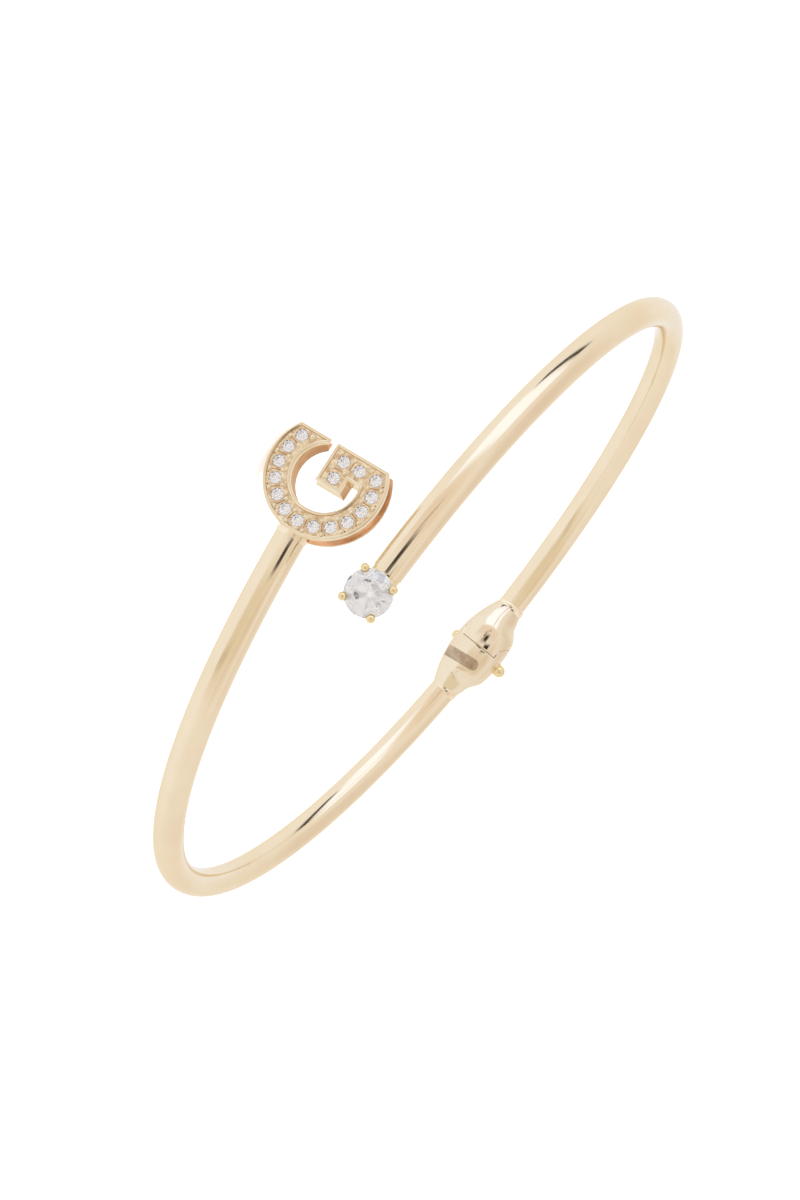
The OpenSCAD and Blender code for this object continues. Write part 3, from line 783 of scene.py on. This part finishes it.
panel_floor = olive()
bmesh.ops.scale(panel_floor, vec=(1, PANEL_SCALE, PANEL_SCALE), verts=panel_floor.verts,
                space=Matrix.Translation((0, -barrel_y, -BARREL_RISE)))
floor_skin = BVHTree.FromBMesh(panel_floor)
fork = cut(fork, cut(panel_block(), panel_floor))
for face in fork.faces:
    distance = floor_skin.find_nearest(face.calc_center_median())[3]
    face.material_index = SATIN if distance < ON_FLOOR else BARREL
print("panel floor of", sum(face.material_index == SATIN for face in fork.faces), "faces")

# %% Solder collars
# Profile of a collar: part of its radius, and place along the tube from the barrel's end
COLLAR_PROFILE = [(0.84, -0.55), (0.94, -0.45), (0.99, -0.2), (1.0, 0.1), (0.97, 0.35),
                  (0.93, 0.46), (0.84, 0.54)]
COLLAR_RISE, LUMP_SIZES, FINE_PART = 0.05, (2.2, 5.5), 0.6


def pull_face(bm, face):
    """Extrudes a face, and leaves none of it inside where walls already stand on it."""
    has_walls = any(len(edge.link_faces) > 1 for edge in face.edges)
    grown = bmesh.ops.extrude_face_region(bm, geom=[face])["geom"]
    if has_walls:
        bmesh.ops.delete(bm, geom=[face], context="FACES_ONLY")
    return only(bmesh.types.BMFace, grown)[0]


def add_turned(bm, rings, place, segments=32):
    """A closed round solid through rings of radius and height, on an upright line."""
    radius, height = rings[0]
    made = bmesh.ops.create_circle(bm, cap_ends=True, segments=segments, radius=radius,
                                   matrix=Matrix.Translation(place + Vector((0, 0, height))))
    end = made["verts"][0].link_faces[0]
    for next_radius, next_height in rings[1:]:
        end = pull_face(bm, end)
        ring = list(end.verts)
        size = next_radius / radius
        bmesh.ops.scale(bm, vec=(size, size, 1), space=Matrix.Translation(-place), verts=ring)
        bmesh.ops.translate(bm, vec=(0, 0, next_height - height), verts=ring)
        radius, height = next_radius, next_height


def paint_new(bm, old_faces, finish):
    """Gives the faces that were added since a set was made a material, by its number."""
    for face in bm.faces:
        if face not in old_faces:
            face.material_index = finish


def add_collar(bm, side, radius, lumps):
    """Solder round a tube where it leaves the barrel."""
    old_verts, old_faces = set(bm.verts), set(bm.faces)
    add_turned(bm, [(radius * part, place) for part, place in COLLAR_PROFILE], Vector(), 72)
    collar = [vert for vert in bm.verts if vert not in old_verts]
    for vert in collar:
        coarse, fine = (noise.noise(size * vert.co) for size in LUMP_SIZES)
        vert.co.xy *= 1 + lumps * (coarse + FINE_PART * fine)
    bmesh.ops.transform(bm, verts=collar, matrix=Matrix.Translation(
        (side * BARREL_HALF_LENGTH, barrel_y, COLLAR_RISE))
        @ Matrix.Rotation(side * math.pi / 2, 4, "Y"))
    paint_new(bm, old_faces, SOLDER)


add_collar(fork, 1, radius=1.262, lumps=0.006)
add_collar(tongue, -1, radius=1.30, lumps=0.02)
finish_piece("barrel_fork", fork, BARREL_FINISHES, "initial_half", "hinge_fork")
finish_piece("barrel_tongue", tongue, BARREL_FINISHES[:SATIN], "stone_half", "hinge_tongue")

# %% [markdown]
# ## The pin
#
# The pin's two ends are melted into small balls, so that it can't slip out. It is turned on a
# lathe in one piece. Here a round bar is put between two balls, the upper one larger and melted
# a little to one side.

# %% Pin
PIN_TOP, PIN_BOTTOM, UPPER_HEAD_RADIUS, LOWER_HEAD_RADIUS = 3.62, 2.7, 0.57, 0.45
MELTED_ASIDE, MELTED_DOWN, BAR_LESS = 0.2, 0.15, 0.01
upper_head = PIN_TOP - UPPER_HEAD_RADIUS - MELTED_DOWN
lower_head = LOWER_HEAD_RADIUS - PIN_BOTTOM
pin_foot = Vector((PIN_OFFSET, barrel_y, 0))
pin = bmesh.new()
for radius, aside, middle_height in ((UPPER_HEAD_RADIUS, MELTED_ASIDE, upper_head),
                                     (LOWER_HEAD_RADIUS, 0.0, lower_head)):
    bmesh.ops.create_uvsphere(
        pin, u_segments=32, v_segments=16, radius=radius,
        matrix=Matrix.Translation(pin_foot + Vector((aside, 0, middle_height))))
add_round(pin, PIN_RADIUS - BAR_LESS, lower_head, upper_head, pin_foot, 32)
finish_piece("ball_pin", pin, [claw_gold], "initial_half", "hinge_pin")

# %% [markdown]
# ## The letter
#
# The letter is cast: an upper and a lower flange with a hollow groove between them, and a raised
# rim round the bed of the stones. Its outline is made of two arcs and a few straight lines. A
# vertex is extruded round it, the loop is filled, and the face is extruded level by level until
# it has grown into the whole wall. Each vertex keeps its station on the outline, and a formula
# says where that station lies when the outline is drawn in, so even the sharp tip stays clean.
# The groove is deep on the outside, and only a trace on the walls inside the letter.

# %% Outline of the letter
LETTER_RADIUS, LETTER_BORE, LETTER_FLAT = 4.7, 2.62, 2.7
BAR_TOP, BAR_BOTTOM, BAR_END, STEM_EDGE, TIP_HEIGHT = 0.6, 1.5, 0.5, 0.65, 1.15
SLOT_SLANT = 0.4
LETTER_TOP, LETTER_BOTTOM, BED_DEPTH = 1.3, 1.15, 0.12
LEAST_TIP = 0.01
OUTER_STEPS, BORE_STEPS = 80, 56
bed_top = LETTER_TOP - BED_DEPTH


def outline_point(station, inset, inner, height):
    """A place on the outline at a height. Inset draws in the outside, and inner the inside.

    The slot between the bar and the upper tip climbs a little towards the back.
    Stations 0 to 1 run along the outer arc, 2 to 5 are the corners of the bar, 6 to 7 run back
    along the bore, and 8 is the corner of the upper tip.
    """
    outer, bore = LETTER_RADIUS - inset, LETTER_BORE + inner
    flat, stem = LETTER_FLAT - inset, STEM_EDGE + inner
    lift = SLOT_SLANT * (LETTER_TOP - height) / (LETTER_TOP + LETTER_BOTTOM)
    top, bottom, bar_end = BAR_TOP + lift - inner, -BAR_BOTTOM + inner, -BAR_END + inner
    tip = max(TIP_HEIGHT + lift + inner,
              math.sqrt(max(0.0, bore ** 2 - (flat - LEAST_TIP) ** 2)))
    if station <= 1:
        first_angle = math.acos(flat / outer)
        angle = first_angle + station * (2 * math.pi - 2 * first_angle)
        return Vector((outer * math.cos(angle), outer * math.sin(angle)))
    if 6 <= station <= 7:
        from_angle = 2 * math.pi - math.acos(stem / bore)
        angle = from_angle + (station - 6) * (math.asin(tip / bore) - from_angle)
        return Vector((bore * math.cos(angle), bore * math.sin(angle)))
    corners = {2: (flat, top), 3: (bar_end, top), 4: (bar_end, bottom), 5: (stem, bottom),
               8: (flat, tip)}
    return Vector(corners[station])


letter = bmesh.new()
on_outline = letter.verts.layers.float.new("station")
all_stations = ([i / OUTER_STEPS for i in range(OUTER_STEPS + 1)] + [2, 3, 4, 5]
                + [6 + i / BORE_STEPS for i in range(BORE_STEPS + 1)] + [8])
first = vert = letter.verts.new((0, 0, 0))
for station in all_stations[1:]:
    vert = bmesh.ops.extrude_vert_indiv(letter, verts=[vert])["verts"][0]
    vert[on_outline] = station
bmesh.ops.contextual_create(letter, geom=[vert, first])
bmesh.ops.contextual_create(letter, geom=list(letter.edges))
print("letter outline of", len(letter.verts), "points,", len(letter.faces), "face")

# %% Wall, rim and bed of the letter
GROOVE_FOOT, GROOVE_TOP, INNER_PART = -0.70, 0.85, 0.25
# Each level: height, and how far the outline is drawn in
LETTER_LEVELS = [
    (-1.15, 0.07), (-1.12, 0.025), (-1.07, 0.0), (-0.70, 0.0), (-0.66, 0.03), (-0.60, 0.14),
    (-0.45, 0.26), (-0.20, 0.34), (0.08, 0.36), (0.35, 0.34), (0.60, 0.26), (0.75, 0.14),
    (0.81, 0.03), (0.85, 0.0), (1.20, 0.0), (1.26, 0.015), (1.295, 0.05), (1.30, 0.09),
    (1.30, 0.20), (1.285, 0.235), (1.21, 0.26), (bed_top, 0.28)]


def place_level(face, height, inset):
    inner = INNER_PART * inset if GROOVE_FOOT < height < GROOVE_TOP else inset
    for vert in face.verts:
        vert.co = (*outline_point(round(vert[on_outline], 6), inset, inner, height), height)


top = letter.faces[:][0]
place_level(top, *LETTER_LEVELS[0])
for height, inset in LETTER_LEVELS[1:]:
    top = pull_face(letter, top)
    place_level(top, height, inset)
bmesh.ops.recalc_face_normals(letter, faces=letter.faces)
print("letter wall of", len(letter.faces), "faces")

# %% [markdown]
# ## The bed of the stones
#
# For each stone the setter drills a seat, scoops the metal round it bright, and cuts a thin line
# across between two stones. The metal that is pushed up at both ends of that line becomes the
# grains, small beads that hold the stones, and the graver leaves a tiny pit beside some of them.
# Seats, lines and pits are cutters again, and the grains are small balls left half in the metal.

# %% Places of the small stones
PAVE_DIAMETER, PAVE_ARC_COUNT = 0.94, 13
PAVE_FIRST, PAVE_LAST, PAVE_PITCH = 61.0, 297.0, 1.38
GRAIN_OFFSET, GRAIN_RADIUS, GRAIN_LIFT, BEAD_RADIUS = 0.5, 0.17, 0.03, 0.23
PIT_RADIUS, PIT_ASIDE = 4.33, math.radians(3.6)
PAVE_OUTWARD, PAVE_DOWN, BEAD_DEGREES = 0.1, 0.08, 11
BAR_GRAINS_PART, FLAT_GRAIN_PART = 1.4, 0.72
pave_radius = (LETTER_RADIUS + LETTER_BORE) / 2 + PAVE_OUTWARD
stem_x = (LETTER_FLAT + STEM_EDGE) / 2
bar_y = (BAR_TOP - BAR_BOTTOM) / 2 - PAVE_DOWN
bar_grains_x = stem_x - BAR_GRAINS_PART * PAVE_PITCH


def pave_angle(index):
    return math.radians(PAVE_FIRST + index * (PAVE_LAST - PAVE_FIRST) / (PAVE_ARC_COUNT - 1))


def polar(radius, angle):
    return Vector((radius * math.cos(angle), radius * math.sin(angle), 0))


def on_bed(place, height=0.0):
    """A place on the letter, carried up to its bed or to a height above it."""
    return Matrix.Translation(place + Vector((0, 0, bed_top + height)))


stone_places = [polar(pave_radius, pave_angle(i)) for i in range(PAVE_ARC_COUNT)]
stone_places += [Vector((stem_x, bar_y - PAVE_PITCH, 0)), Vector((stem_x, bar_y, 0)),
                 Vector((stem_x - PAVE_PITCH, bar_y, 0))]

# Each cut between two stones: its middle and its direction across the stroke
gap_angles = [(pave_angle(i) + pave_angle(i + 1)) / 2 for i in range(PAVE_ARC_COUNT - 1)]
gaps = [(polar(pave_radius, angle), polar(1, angle)) for angle in gap_angles]
gaps.append((Vector((stem_x, bar_y - PAVE_PITCH / 2, 0)), Vector((1, 0, 0))))
gaps.append((Vector((stem_x - PAVE_PITCH / 2, bar_y, 0)), Vector((0, 1, 0))))
grain_places = [middle + end * GRAIN_OFFSET * across for middle, across in gaps
                for end in (-1, 1)]
grain_places += [Vector((bar_grains_x, bar_y - GRAIN_OFFSET, 0)),
                 Vector((bar_grains_x, bar_y + GRAIN_OFFSET, 0)),
                 Vector((stem_x + GRAIN_OFFSET, bar_y + GRAIN_OFFSET, 0)),
                 Vector((stem_x + GRAIN_OFFSET, -pave_radius * FLAT_GRAIN_PART, 0))]
bead_place = polar(pave_radius - GRAIN_OFFSET, math.radians(PAVE_FIRST - BEAD_DEGREES))
pit_places = [polar(PIT_RADIUS, angle + (PIT_ASIDE if i % 3 else -PIT_ASIDE))
              for i, angle in enumerate(gap_angles)]
print(len(stone_places), "stones,", len(grain_places), "grains and", len(pit_places), "pits")

# %% Seats, cuts and pits
# Profiles of a seat and a pit: radius, and height above the bed
SEAT_PROFILE = [(0.485, 0.3), (0.485, -0.08), (0.10, -0.46), (0.10, -0.60)]
PIT_PROFILE = [(0.06, 0.3), (0.06, -0.05), (0.035, -0.18)]
# Length and the two widths of the graver's square bar
GRAVER_CUT = (1.1, 0.055, 0.055)


def add_graver_cut(bm, middle, across):
    """A thin V shaped cut across the stroke, with its sharp edge down."""
    turn = Matrix.Rotation(math.atan2(across.y, across.x), 4, "Z")
    bmesh.ops.create_cube(bm, size=1.0, matrix=on_bed(middle) @ turn
                          @ Matrix.Rotation(math.radians(45), 4, "X")
                          @ Matrix.Diagonal((*GRAVER_CUT, 1)))


seats = bmesh.new()
for place in stone_places:
    add_turned(seats, SEAT_PROFILE, on_bed(place).translation)
for middle, across in gaps:
    add_graver_cut(seats, middle, across)
for place in pit_places:
    add_turned(seats, PIT_PROFILE, on_bed(place).translation, 12)
bmesh.ops.recalc_face_normals(seats, faces=seats.faces)
letter = cut(letter, seats)
print("letter with seats, cuts and pits:", len(letter.faces), "faces")

# %% [markdown]
# ## Finishes of the letter
#
# The polishing wheel reaches the rim and the flanges only, and the bed between the stones is
# rough from the graver. Each face finds its finish by its height, its place on the letter and the
# way it faces. The groove and the pits get a painted orange bounce light and shade. The walls
# inside the letter that face down or right, the cuts between the stones and the side of the rim
# that looks at the bed get a dark brown painted shade, which draws a fine line round the stones.

# %% A finish for each face
LETTER_FINISHES = [letter_gold, bed_gold, rim_gold, painted_bounce_gold, painted_shade_gold, solder_gold]
POLISHED, BED, RIM, PAINTED_BOUNCE, PAINTED_SHADE, SOLDERED = range(len(LETTER_FINISHES))
# How far round its middle each kind of cut reaches, and the least height it is looked for at
SEAT_REACH, CUT_REACH, PIT_REACH = 0.5, 0.75, 0.1
SEAT_HEIGHT, CUT_HEIGHT = 0.5, 0.9
# Half of the rim's width on the arc, along the flat and the bore, and round the bar
RIM_ON_ARC, RIM_ALONG, RIM_AT_BAR = 0.2, 0.18, 0.15
# How deep the outer wall goes on the arc and on the flat, with the groove in it
OUTSIDE_ARC, OUTSIDE_FLAT = 0.5, 0.45
# Allowances in height, and how far a face's normal turns before it counts as level or leaning
RIM_EDGE, HAIR, LEVEL, LEANING = 0.012, 0.002, 0.9, 0.3


def near(centre, places, reach):
    return any((centre.xy - place.xy).length < reach for place in places)


def looks_at_bed(centre):
    """True for a place on the rim's wall on the side of the stones."""
    from_middle = centre.xy.length
    if centre.x > LETTER_FLAT - RIM_ALONG or from_middle > LETTER_RADIUS - RIM_ON_ARC:
        return False
    below_bar_top = centre.y < BAR_TOP - RIM_AT_BAR
    if from_middle > LETTER_BORE + RIM_ALONG:
        return centre.y > TIP_HEIGHT + RIM_AT_BAR or below_bar_top
    return (centre.x > RIM_AT_BAR - BAR_END and below_bar_top
            and (centre.y > RIM_AT_BAR - BAR_BOTTOM or centre.x > STEM_EDGE + RIM_AT_BAR))


def finish_of(face):
    centre = face.calc_center_median()
    if centre.z > bed_top + HAIR:
        on_wall = centre.z < LETTER_TOP - RIM_EDGE
        # Painted shade: the rim's wall on the side of the stones gets the dark brown, a fine shadow
        # line
        return PAINTED_SHADE if on_wall and looks_at_bed(centre) else RIM
    if centre.z > bed_top - HAIR and abs(face.normal.z) > LEVEL:
        return BED
    if centre.z > SEAT_HEIGHT and near(centre, stone_places, SEAT_REACH):
        return POLISHED
    # Painted shade in the cuts between stones: dark brown, with the painted bounce tone where a pit
    # lies
    if centre.z > CUT_HEIGHT and near(centre, [middle for middle, across in gaps], CUT_REACH):
        return PAINTED_BOUNCE if near(centre, pit_places, PIT_REACH) else PAINTED_SHADE
    # Painted bounce light and shade in the outer groove
    if centre.xy.length > LETTER_RADIUS - OUTSIDE_ARC or centre.x > LETTER_FLAT - OUTSIDE_FLAT:
        return PAINTED_BOUNCE if GROOVE_FOOT < centre.z < GROOVE_TOP else RIM
    # Painted shade: walls inside the letter that face down or right get the dark brown
    looks_down_or_right = face.normal.y < -LEANING or face.normal.x > LEANING
    return PAINTED_SHADE if looks_down_or_right and centre.z < GROOVE_TOP else POLISHED


for face in letter.faces:
    face.material_index = finish_of(face)
print("faces by finish", [sum(face.material_index == number for face in letter.faces)
                          for number in range(len(LETTER_FINISHES))])

# %% [markdown]
# ## Joining the letter to its tube
#
# A short round boss takes the tube's end. It is a cylinder sunk into the letter's wall, with a
# narrow cone of solder that fills the corner. The whole letter is then carried to the end of its
# arm.

# %% Boss, grains and place of the letter
BOSS_LENGTH, BOSS_RADIUS, BOSS_HEIGHT, BOSS_DEPTH = 0.35, 1.15, 0.13, 0.85
SOLDER_OVERLAP, SOLDER_TIP, SOLDER_FOOT = 0.06, 0.01, 0.1
initial_middle = (arm_point(1, INITIAL_END) + (LETTER_RADIUS + BOSS_LENGTH) * initial_right
                  - BOSS_HEIGHT * initial_up)
on_initial = (Matrix.Translation(initial_middle) @ Matrix.Rotation(INITIAL_YAW, 4, "Z")
              @ Matrix.Rotation(math.pi, 4, "Z") @ Matrix.Rotation(-math.pi / 2, 4, "X")
              @ Matrix.Rotation(INITIAL_TURN, 4, "Z"))


def add_lying_bar(bm, start_radius, end_radius, middle, length, height=0.0):
    """A round bar or cone that lies along X."""
    bmesh.ops.create_cone(bm, cap_ends=True, segments=48, radius1=start_radius,
                          radius2=end_radius, depth=length,
                          matrix=Matrix.Translation((middle, height, 0))
                          @ Matrix.Rotation(math.pi / 2, 4, "Y"))


boss_start = -LETTER_RADIUS - BOSS_LENGTH
for start_radius, end_radius, depth, finish in (
        (BOSS_RADIUS, BOSS_RADIUS, BOSS_DEPTH, POLISHED),
        (TUBE_RADIUS + SOLDER_TIP, TUBE_RADIUS + SOLDER_FOOT, BOSS_LENGTH + SOLDER_OVERLAP,
         SOLDERED)):
    old_faces = set(letter.faces)
    add_lying_bar(letter, start_radius, end_radius, boss_start + depth / 2, depth, BOSS_HEIGHT)
    paint_new(letter, old_faces, finish)

old_faces = set(letter.faces)
for place in grain_places + [bead_place]:
    bmesh.ops.create_icosphere(
        letter, subdivisions=2, radius=BEAD_RADIUS if place == bead_place else GRAIN_RADIUS,
        matrix=on_bed(place, GRAIN_LIFT))
paint_new(letter, old_faces, RIM)
bmesh.ops.transform(letter, matrix=on_initial, verts=letter.verts)
finish_piece("letter", letter, LETTER_FINISHES, "initial_half", "initial",
             crease=30)

# %% [markdown]
# ## Cutting a stone
#
# A lapidary holds the rough stone at a fixed angle against a flat wheel, and turns it on to the
# next position for the next facet. The same works on a mesh: a round blank is cut by a plane,
# the cut is filled, and the plane moves round by an even step. A brilliant has a table, eight
# kites, eight stars and sixteen upper facets above the girdle, and eight mains and sixteen lower
# facets below it.

# %% A brilliant
TABLE_PART, CROWN_ANGLE, PAVILION_ANGLE = 0.56, math.radians(34.4), math.radians(40.6)
UPPER_ANGLE, LOWER_ANGLE, STAR_ANGLE = math.radians(41.5), math.radians(42.0), math.radians(22)
GIRDLE_PART, BLANK_PART = 0.03, 1.2


def cut_facets(bm, count, first_turn, tilt, reach, height, side):
    """Cuts a row of facets: reach and height are where each plane passes, side is up or down."""
    for step in range(count):
        turn = first_turn + FULL_TURN * step / count
        out = Vector((math.cos(turn), math.sin(turn), 0))
        normal = math.sin(tilt) * out + Vector((0, 0, side * math.cos(tilt)))
        sliced = bmesh.ops.bisect_plane(
            bm, geom=list(bm.verts) + list(bm.edges) + list(bm.faces), dist=1e-6,
            plane_co=reach * out + Vector((0, 0, height)), plane_no=normal, clear_outer=True)
        rim = only(bmesh.types.BMEdge, sliced["geom_cut"])
        if len(rim) > 2:
            bmesh.ops.contextual_create(bm, geom=rim)


def brilliant(diameter):
    """A round brilliant with the top of its girdle at height 0."""
    r = diameter / 2
    girdle = -GIRDLE_PART * diameter
    bm = bmesh.new()
    bmesh.ops.create_cone(bm, cap_ends=True, segments=64, radius1=r, radius2=r,
                          depth=BLANK_PART * diameter)
    eighth, sixteenth = math.pi / 4, math.pi / 8
    cut_facets(bm, 16, sixteenth / 2, UPPER_ANGLE, r, 0.0, 1)
    cut_facets(bm, 8, 0, CROWN_ANGLE, r, 0.0, 1)
    table_height = r * (1 - TABLE_PART) * math.tan(CROWN_ANGLE)
    cut_facets(bm, 1, 0, 0.0, 0.0, table_height, 1)
    cut_facets(bm, 8, eighth / 2, STAR_ANGLE, TABLE_PART * r * math.cos(eighth / 2),
               table_height, 1)
    cut_facets(bm, 16, sixteenth / 2, LOWER_ANGLE, r, girdle, -1)
    cut_facets(bm, 8, 0, PAVILION_ANGLE, r, girdle, -1)
    bmesh.ops.remove_doubles(bm, verts=bm.verts, dist=diameter * 1e-4)
    return bm


sample_stone = brilliant(PAVE_DIAMETER)
print("a brilliant has", len(sample_stone.faces), "faces")

# %% [markdown]
# ## The small stones
#
# Sixteen brilliants of just under a millimetre sit in the letter. A setter doesn't line their
# facets up, so each one is turned by its own angle.

# %% Small stones
TURN_DEGREES = 137.5
for index, place in enumerate(stone_places):
    stone = sample_stone.copy()
    turn = Matrix.Rotation(math.radians(TURN_DEGREES * index), 4, "Z")
    bmesh.ops.transform(stone, verts=stone.verts, matrix=on_initial @ on_bed(place) @ turn)
    label = f"{index + 1:02d}"
    finish_piece(f"small_stone_{label}", stone, [small_stone_glass], "initial_half",
                 f"initial_stone_{label}", faceted=True)
sample_stone.free()

# %% [markdown]
# ## The solitaire and its claws
#
# The round stone stands in an open cone with four round claws. Each claw leans outwards from the
# foot of the cone and ends in a ball that was melted and pressed over the stone's edge. The cone
# is spun, the claws are swept as the tubes are, and the balls sit on their tips. A round boss
# takes the tube's end. It stops at the cone's wall, so a filled cone is taken out of it.

# %% Setting
SOLITAIRE_DIAMETER, GIRDLE_HEIGHT, SOLITAIRE_REACH = 3.7, 1.45, 1.93
CLAW_RADIUS, CLAW_TIP_RADIUS = 0.23, 0.35
solitaire_middle = arm_point(-1, STONE_END) + SOLITAIRE_REACH * solitaire_right
on_solitaire = (Matrix.Translation(solitaire_middle) @ Matrix.Rotation(SOLITAIRE_YAW, 4, "Z")
                @ Matrix.Rotation(math.pi / 2 - SOLITAIRE_PITCH, 4, "X"))

# Each profile or path: distance from the stone's line, and height
CONE_PROFILE = [(0.70, -1.15), (0.90, -1.15), (0.96, -1.10), (1.83, 1.08), (1.83, 1.14),
                (1.77, 1.17), (1.62, 1.15), (1.55, 1.08), (0.66, -1.08)]
CLAW_PATH = [(1.00, -1.00), (1.30, -0.15), (1.62, 0.75), (1.88, 1.40), (1.95, 1.72)]
CLAW_TIP = (1.86, 1.83)
FILLED_CONE = [(0.78, -1.40), (0.80, -1.15), (1.70, 1.12), (1.72, 1.60)]
BOSS_END = 0.5


def beside_stone(distance, height):
    return Vector((distance, 0, height))


setting = bmesh.new()
vert = setting.verts.new(beside_stone(*CONE_PROFILE[0]))
for corner in CONE_PROFILE[1:] + CONE_PROFILE[:1]:
    vert = bmesh.ops.extrude_vert_indiv(setting, verts=[vert])["verts"][0]
    vert.co = beside_stone(*corner)
bmesh.ops.remove_doubles(setting, verts=setting.verts, dist=0.001)
spin(setting, list(setting.verts) + list(setting.edges), (0, 0, 0), (0, 0, 1), FULL_TURN, 64)
bmesh.ops.remove_doubles(setting, verts=setting.verts, dist=0.001)

claw_points = [beside_stone(*point) for point in CLAW_PATH]
for quarter in range(4):
    old_verts = set(setting.verts)
    made = bmesh.ops.create_circle(setting, cap_ends=True, segments=20, radius=CLAW_RADIUS,
                                   matrix=Matrix.Translation(claw_points[0]))
    claw_face = made["verts"][0].link_faces[0]
    for here, there in zip(claw_points, claw_points[1:]):
        claw_face = pull_face(setting, claw_face)
        bmesh.ops.translate(setting, vec=there - here, verts=claw_face.verts)
    bmesh.ops.create_uvsphere(setting, u_segments=28, v_segments=18, radius=CLAW_TIP_RADIUS,
                              matrix=Matrix.Translation(beside_stone(*CLAW_TIP)))
    bmesh.ops.transform(setting, matrix=Matrix.Rotation(math.radians(45 + 90 * quarter), 4, "Z"),
                        verts=[v for v in setting.verts if v not in old_verts])

tube_boss, inside_cone = bmesh.new(), bmesh.new()
add_lying_bar(tube_boss, BOSS_RADIUS, BOSS_RADIUS, -(SOLITAIRE_REACH + BOSS_END) / 2,
              SOLITAIRE_REACH - BOSS_END)
add_turned(inside_cone, FILLED_CONE, Vector(), 64)
bmesh.ops.recalc_face_normals(inside_cone, faces=inside_cone.faces)
boss_mesh = mesh_of("tube_boss", cut(tube_boss, inside_cone))
setting.from_mesh(boss_mesh)
bpy.data.meshes.remove(boss_mesh)
bmesh.ops.transform(setting, matrix=on_solitaire, verts=setting.verts)
finish_piece("claw_setting", setting, [claw_gold], "stone_half", "solitaire_setting")

solitaire = brilliant(SOLITAIRE_DIAMETER)
girdle_top = GIRDLE_HEIGHT + GIRDLE_PART * SOLITAIRE_DIAMETER
bmesh.ops.transform(solitaire, verts=solitaire.verts,
                    matrix=on_solitaire @ Matrix.Translation((0, 0, girdle_top)))
finish_piece("round_stone", solitaire, [solitaire_glass], "stone_half", "solitaire",
             faceted=True)
